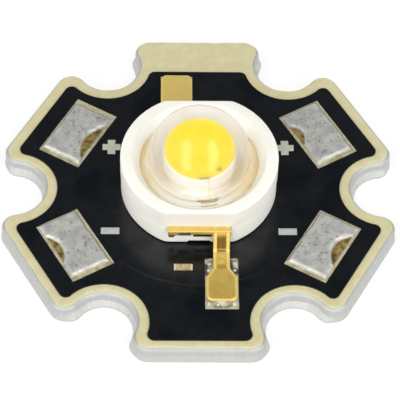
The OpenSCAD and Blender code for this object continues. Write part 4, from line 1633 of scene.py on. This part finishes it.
    def pockets(self, x: Array, z: Array, grow: float = 0.0) -> Array:
        """Gives the depth of the gaps that the mould left under the tab, each a soft box in X and height.

        Args:
            x, z: Places on the flat.
            grow: How far each box is grown all round.

        Returns:
            The depth at each place.
        """
        depth = np.zeros_like(x)
        for left, right, low, high in self.pocket_boxes_mm:
            soft = plateau(x, left * MM - grow, right * MM + grow, 0.06 * MM)
            soft = soft * plateau(z, low * MM - grow, high * MM + grow, 0.03 * MM)
            depth = np.maximum(depth, self.pocket_depth * soft)
        return depth

    def slug(self) -> None:
        """Builds the heat slug: a turned base, a stem and a cup that flares to a rounded brim."""
        shelf = self.slug_z + self.slug_height
        stem_top = self.floor_z + self.skin
        cup_bottom = self.brim_z - self.cup_depth
        line = rounded([(0, self.slug_z, 0), (self.slug_radius, self.slug_z, 0.05 * MM),
                        (self.slug_radius, shelf, 0.05 * MM), (self.stem_radius, shelf, 0),
                        (self.stem_radius, stem_top, 0.03 * MM), (self.cup_foot, stem_top, 0.06 * MM),
                        (self.cup_brim, self.brim_z, self.brim_round),
                        (self.cup_brim - self.cup_wall, self.brim_z, self.brim_round),
                        (self.cup_floor, cup_bottom, 0.1 * MM), (0, cup_bottom, 0)], 0.08 * MM)
        grid = lathe(np.maximum(line, [self.pole_radius, 0]), 160)
        east = np.cos(np.arctan2(grid[..., 1], grid[..., 0]))
        outside = (np.arange(len(line)) < np.argmax(line[:, 1])) & (line[:, 1] > self.floor_z)
        deep = ease(self.brim_z - grid[..., 2], 0.55 * MM, 0.8 * MM) * outside[:, None]
        form = Form("silver_slug")
        form.tube(grid, marks={"dull": deep * np.abs(east) ** 1.5 * (0.6 + 0.1 * east)})
        place(form.build(self.finishes.slug), Slot.SLUG, "heat_slug")

    def phosphor(self) -> None:
        """Builds the phosphor: it fills the cup, laps over the brim and has a low dome, a nick and a painted shadow
        line at its front edge.
        """
        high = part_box("phosphor")[1]
        lap = high.z - self.brim_z
        floor = self.brim_z - self.cup_depth + self.skin
        edge = self.fill_reach * high.x
        line = rounded([(0, floor, 0), (self.cup_floor - self.skin, floor, 0.08 * MM),
                        (self.cup_brim - self.cup_wall - self.skin, self.brim_z, 0),
                        (edge, self.brim_z + self.skin, 0.008 * MM),
                        (edge - 0.02 * MM, high.z + lap, 0.02 * MM), (0, high.z + 3 * lap, 0)], 0.05 * MM)
        grid = lathe(np.maximum(line, [self.pole_radius, 0]), 160)
        upper = grid[..., 2] > self.brim_z
        radius = np.hypot(grid[..., 0], grid[..., 1])
        turn = np.arctan2(grid[..., 1], grid[..., 0])
        back = np.clip(np.sin(turn), 0, 1) ** 2
        drawn = np.where(turn < 0, np.sin(2 * turn) ** 2, 0.0)
        outward = ease(radius, 0.7 * edge, edge) * upper
        grid[..., :2] *= (1 + outward * (0.1 * back - 0.03 * drawn))[..., None]
        x, y = grid[..., 0], grid[..., 1]
        nick = np.exp(-((x - self.nick_x) ** 2 + (y - self.nick_y) ** 2) / self.nick_radius**2) * upper
        # Painted shadow: an olive line along the front edge, where the phosphor meets the cup's brim.
        front = ease(-y, 0.8 * edge, 0.95 * edge) * plateau(x, -0.05 * MM, 0.45 * MM, 0.2 * MM)
        rim = ease(radius, 0.93 * edge, 0.99 * edge) * upper
        grid[..., 2] -= self.nick_depth * nick
        form = Form("phosphor_fill")
        pale = np.maximum(0.6 * rim, ease(radius, 0.85 * edge, edge) * back) * upper
        form.tube(grid, marks={"stain": np.maximum(nick, front * rim), "pale": pale})
        place(form.build(self.finishes.phosphor), Slot.PHOSPHOR, "phosphor")

    def wire(self, node: str, turn: int) -> None:
        """Builds a bond wire: a thin round tube on an arch from the chip, over the brim, down to the lead's pad.

        Args:
            node: Node of the wire.
            turn: 1 for the cathode's side, -1 for the anode's.
        """
        low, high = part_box(node)
        peak = high.z - self.wire_radius
        path = rounded([(self.wire_start, low.z + 0.5 * (peak - low.z), 0),
                        (self.cup_brim - 0.05 * MM, peak - 0.06 * MM, 0.3 * MM),
                        (self.cup_brim + 0.12 * MM, peak - 0.1 * MM, 0.1 * MM),
                        (self.window_p, self.floor_z - 0.03 * MM, 0)], 0.05 * MM, 12)
        way = np.gradient(path, axis=0)
        way /= np.linalg.norm(way, axis=1, keepdims=True)
        angle = np.linspace(0, 2 * np.pi, 10, endpoint=False)
        x = self.window_x + self.wire_radius * np.cos(angle)[None]
        p = path[:, :1] - way[:, 1:] * self.wire_radius * np.sin(angle)[None]
        z = path[:, 1:] + way[:, :1] * self.wire_radius * np.sin(angle)[None]
        form = Form(f"thin_{node}")
        grid = np.stack(np.broadcast_arrays(x * turn, -p * turn, z), -1)
        form.tube(grid[:, ::-1], marks={"worn": np.ones(len(angle))})
        place(form.build(self.finishes.gold), Slot.GOLD, node)

    def dome(self) -> None:
        """Builds the dome and the gel under it as one clear solid, because no surface shows between them."""
        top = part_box("lens")[1].z
        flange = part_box("lens")[1].x
        centre = top - self.dome_radius
        well = self.well_radius + self.skin
        floor = self.floor_z - self.skin
        seat = self.seat_z - self.skin
        flange_top = self.seat_z + self.flange_height
        line = rounded([(0, floor, 0), (well, floor, 0), (well, seat, 0), (flange, seat, 0.03 * MM),
                        (flange, flange_top, 0.06 * MM), (self.dome_radius, flange_top, 0.1 * MM),
                        (self.dome_radius, centre, 0)], 0.1 * MM)
        arc = np.linspace(0, math.pi / 2, 60)[1:-1]
        ball = np.stack([self.dome_radius * np.cos(arc), centre + self.dome_radius * np.sin(arc)], -1)
        pole = np.array([[self.pole_radius, top]])
        form = Form("clear_dome")
        form.tube(lathe(np.concatenate([np.maximum(line, [self.pole_radius, 0]), ball, pole]), 192))
        place(form.build(self.finishes.lens, 50), Slot.LENS, "lens", "silicone_gel")

    def sealant(self) -> None:
        """Builds the sealant: a bead between flange and wall, thick at the two sides and thin at front and back."""
        low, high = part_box("lens_sealant")
        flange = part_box("lens")[1].x
        angle = np.linspace(0, 2 * np.pi, self.bead_columns, endpoint=False)
        thick = 0.12 + 0.65 * np.cos(angle) ** 2 + 0.12 * waves(angle, 2 * np.pi, (3, 5, 8, 13), 17)
        thick = thick + 0.7 * np.exp(-(((angle - np.radians(self.bead_lump_deg)) / self.bead_lump_width) ** 2))
        tall = (high.z - low.z) * np.clip(thick, 0.2, 1.0)
        share = np.linspace(0, 1, 8)[:, None]
        wall = self.seat_radius + (self.mouth_radius - self.seat_radius) * tall / self.seat_drop
        radius = flange + self.skin + (wall - flange + self.skin) * share
        height = low.z + tall * (1 - 0.35 * np.sin(share * math.pi))
        base = np.array([[self.seat_radius + self.skin], [flange + self.skin]]) * np.ones_like(angle)
        radius = np.concatenate([radius, base])
        height = np.concatenate([height, np.full_like(base, low.z + self.skin)])
        form = Form("amber_sealant")
        form.tube(np.stack([radius * np.cos(angle), radius * np.sin(angle), height], -1)[::-1], loop=True,
                  marks={"thick": np.clip(thick, 0, 1)})
        place(form.build(self.finishes.sealant), Slot.SEALANT, "lens_sealant")


def dress(node: str, finish: bpy.types.Material) -> None:
    """Gives a node that keeps its own form its finish.

    Args:
        node: Node of the frame.
        finish: Its material.
    """
    mesh = bpy.data.objects[node].data
    mesh.materials.clear()
    mesh.materials.append(finish)
    log.info("%s keeps its own form", node)


@dataclass
class Studio:
    """Pale floor, soft light from both sides of the camera, and the camera itself."""

    target: Vector = field(default_factory=lambda: Vector((0.0692, -0.8732, 1.18)) * MM)
    distance: float = 125.12 * MM
    elevation_deg: float = 52.921
    yaw_deg: float = -1.985
    roll_deg: float = 1.898
    lens_mm: float = 218.65
    sensor_mm: float = 36.0
    nearest: float = 1 * MM
    softbox_turn_deg: float = 30.0
    softbox_distance: float = 0.4
    softbox_width: float = 0.15
    softbox_height: float = 0.5
    softbox_watts: float = 0.79
    horizon_level: float = 1.3
    front_level: float = 0.62
    back_level: float = 0.2
    surround: Colour = (0.97, 0.98, 1.0)
    floor_half: float = 3.0
    floor_gap: float = 0.002 * MM
    floor_tone: float = 0.85
    shadow_tone: float = 0.22
    floor_glow: float = 0.8

    def build(self) -> None:
        """Sets the view transform and builds floor, world, lamps and camera."""
        bpy.context.scene.view_settings.view_transform = "Standard"
        self.floor()
        self.world()
        self.softbox("softbox_left", -self.softbox_turn_deg)
        self.softbox("softbox_right", self.softbox_turn_deg)
        self.camera()

    def away(self, azimuth_deg: float, elevation_deg: float) -> Vector:
        """Gives the direction from the object at an azimuth and elevation.

        Args:
            azimuth_deg: Turn to the right, from the front.
            elevation_deg: Angle above the floor.

        Returns:
            A vector of length 1.
        """
        a = math.radians(azimuth_deg)
        e = math.radians(elevation_deg)
        return Vector((math.sin(a) * math.cos(e), -math.cos(a) * math.cos(e), math.sin(e)))

    def floor(self) -> None:
        """Builds the floor: white to the camera, to gloss and through glass, with the part's shadow left in it."""
        mesh = bpy.data.meshes.new("floor")
        half = self.floor_half
        mesh.from_pydata([(-half, -half, 0), (half, -half, 0), (half, half, 0), (-half, half, 0)], [], [(0, 1, 2, 3)])
        material = bpy.data.materials.new("pale_floor")
        material.use_nodes = True
        tree = material.node_tree
        tree.nodes.clear()
        seen = self.seen(tree)
        plain = tree.nodes.new("ShaderNodeBsdfDiffuse")
        plain.inputs["Color"].default_value = (*[self.floor_tone] * 3, 1)
        shaded = tree.nodes.new("ShaderNodeBsdfDiffuse")
        shaded.inputs["Color"].default_value = (*[self.shadow_tone] * 3, 1)
        glow = tree.nodes.new("ShaderNodeEmission")
        glow.inputs["Strength"].default_value = self.floor_glow
        both = tree.nodes.new("ShaderNodeAddShader")
        mix = tree.nodes.new("ShaderNodeMixShader")
        out = tree.nodes.new("ShaderNodeOutputMaterial")
        links = ((shaded.outputs[0], both.inputs[0]), (glow.outputs[0], both.inputs[1]), (seen, mix.inputs[0]),
                 (plain.outputs[0], mix.inputs[1]), (both.outputs[0], mix.inputs[2]), (mix.outputs[0], out.inputs[0]))
        for source, target in links:
            tree.links.new(source, target)
        mesh.materials.append(material)
        floor = bpy.data.objects.new("floor", mesh)
        floor.location.z = -self.floor_gap
        bpy.context.scene.collection.objects.link(floor)

    def seen(self, tree: bpy.types.NodeTree) -> bpy.types.NodeSocket:
        """Adds up the rays that should see a white background: camera, glossy and transmission rays.

        Args:
            tree: Nodes of the floor's material.

        Returns:
            1 for such a ray and 0 for any other.
        """
        ray = tree.nodes.new("ShaderNodeLightPath")
        total = ray.outputs["Is Camera Ray"]
        for name in ("Is Glossy Ray", "Is Transmission Ray"):
            add = tree.nodes.new("ShaderNodeMath")
            add.use_clamp = True
            tree.links.new(total, add.inputs[0])
            tree.links.new(ray.outputs[name], add.inputs[1])
            total = add.outputs[0]
        return total

    def world(self) -> None:
        """Builds the surround: pale at the horizon, softer overhead and in front, and dim high at the back."""
        world = bpy.data.worlds.new("studio")
        world.use_nodes = True
        tree = world.node_tree
        spot = tree.nodes.new("ShaderNodeTexCoord")
        split = tree.nodes.new("ShaderNodeSeparateXYZ")
        tree.links.new(spot.outputs["Generated"], split.inputs[0])
        high = self.rise(tree, split.outputs["Z"], 0.15, 0.5, 0.0, 1.0)
        drop = self.rise(tree, split.outputs["Y"], -0.1, 0.4, self.horizon_level - self.front_level,
                         self.horizon_level - self.back_level)
        fall = tree.nodes.new("ShaderNodeMath")
        fall.operation = "MULTIPLY_ADD"
        fall.inputs[2].default_value = self.horizon_level
        turn = tree.nodes.new("ShaderNodeMath")
        turn.operation = "MULTIPLY"
        turn.inputs[1].default_value = -1.0
        tree.links.new(drop, turn.inputs[0])
        tree.links.new(high, fall.inputs[0])
        tree.links.new(turn.outputs[0], fall.inputs[1])
        tree.links.new(fall.outputs[0], tree.nodes["Background"].inputs["Strength"])
        tree.nodes["Background"].inputs["Color"].default_value = (*self.surround, 1)
        bpy.context.scene.world = world

    def rise(self, tree: bpy.types.NodeTree, value: bpy.types.NodeSocket, low: float, high: float, to_low: float,
             to_high: float) -> bpy.types.NodeSocket:
        """Adds a smooth ramp of a value.

        Args:
            tree: Nodes that the ramp joins.
            value: What drives it.
            low, high: Values at which it starts and ends.
            to_low, to_high: Levels there.

        Returns:
            The level.
        """
        ramp = tree.nodes.new("ShaderNodeMapRange")
        ramp.interpolation_type = "SMOOTHSTEP"
        for name, number in (("From Min", low), ("From Max", high), ("To Min", to_low), ("To Max", to_high)):
            ramp.inputs[name].default_value = number
        tree.links.new(value, ramp.inputs["Value"])
        return ramp.outputs["Result"]

    def axes(self) -> tuple[Vector, Vector, Vector]:
        """Works out the camera's directions, with its small roll.

        Returns:
            Right, up and back.
        """
        back = self.away(self.yaw_deg, self.elevation_deg)
        a = math.radians(self.yaw_deg)
        right = Vector((math.cos(a), math.sin(a), 0))
        up = back.cross(right)
        r = math.radians(self.roll_deg)
        return right * math.cos(r) + up * math.sin(r), up * math.cos(r) - right * math.sin(r), back

    def softbox(self, name: str, turn_deg: float) -> None:
        """Adds a tall softbox beside the camera, turned about the camera's upright to face the part.

        Args:
            name: Name of the lamp.
            turn_deg: How far it stands to the right of the camera.
        """
        lamp = bpy.data.lights.new(name, "AREA")
        lamp.shape = "RECTANGLE"
        lamp.size = self.softbox_width
        lamp.size_y = self.softbox_height
        lamp.energy = self.softbox_watts
        piece = bpy.data.objects.new(name, lamp)
        right, up, back = self.axes()
        t = math.radians(turn_deg)
        away = back * math.cos(t) + right * math.sin(t)
        across = right * math.cos(t) - back * math.sin(t)
        turn = Matrix((across, up, away)).transposed()
        piece.matrix_world = Matrix.Translation(away * self.softbox_distance) @ turn.to_4x4()
        bpy.context.scene.collection.objects.link(piece)

    def camera(self) -> None:
        """Adds the camera at the photograph's angle."""
        data = bpy.data.cameras.new("camera")
        data.lens = self.lens_mm
        data.sensor_width = self.sensor_mm
        data.clip_start = self.nearest
        camera = bpy.data.objects.new("camera", data)
        turn = Matrix(self.axes()).transposed()
        camera.matrix_world = Matrix.Translation(self.target + self.axes()[2] * self.distance) @ turn.to_4x4()
        bpy.context.scene.collection.objects.link(camera)
        bpy.context.scene.camera = camera


def wire_pads() -> list[WirePad]:
    """Lists the four wire pads with what sets each apart: its turn, its flux, its bare borders and its seed.

    Returns:
        The pads, ready to be built.
    """
    rows_mm = (
        ("solder_positive_left", 150, FluxSide.INNER, -1.05, 1.5, 0.66, (0.1, 0.1, 0.34, 0.2), 101),
        ("solder_positive_right", 30, FluxSide.INNER, -0.35, 1.2, 0.54, (0.12, 0.16, 0.24, 0.1), 211),
        ("solder_negative_left", 210, FluxSide.OUTER, -1.2, 0.75, 0.52, (0.2, 0.1, 0.08, 0.26), 307),
        ("solder_negative_right", 330, FluxSide.OUTER, -0.9, 1.35, 0.68, (0.1, 0.12, 0.2, 0.14), 401),
    )
    return [WirePad(node, angle, side, start * MM, end * MM, depth * MM, tuple(w * MM for w in borders), seed)
            for node, angle, side, start, end, depth, borders, seed in rows_mm]


def main() -> None:
    """Builds the part's pieces round the frame, then the studio."""
    logging.basicConfig(level=logging.INFO, format="%(name)s: %(message)s")
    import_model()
    finishes = Finishes()
    Board(finishes).build()
    for pad in wire_pads():
        pad.build(finishes)
    Lead("cathode_lead", "cathode_solder", 1).build(finishes)
    Lead("anode_lead", "anode_solder", -1, pad_half=(0.13 * MM, 0.1 * MM), foot_half=0.82 * MM,
         foot_start=5.05 * MM, shoulder=0.4 * MM, polish=0.8).build(finishes)
    Emitter(finishes).build()
    Studio().build()


if __name__ == "__main__":
    main()
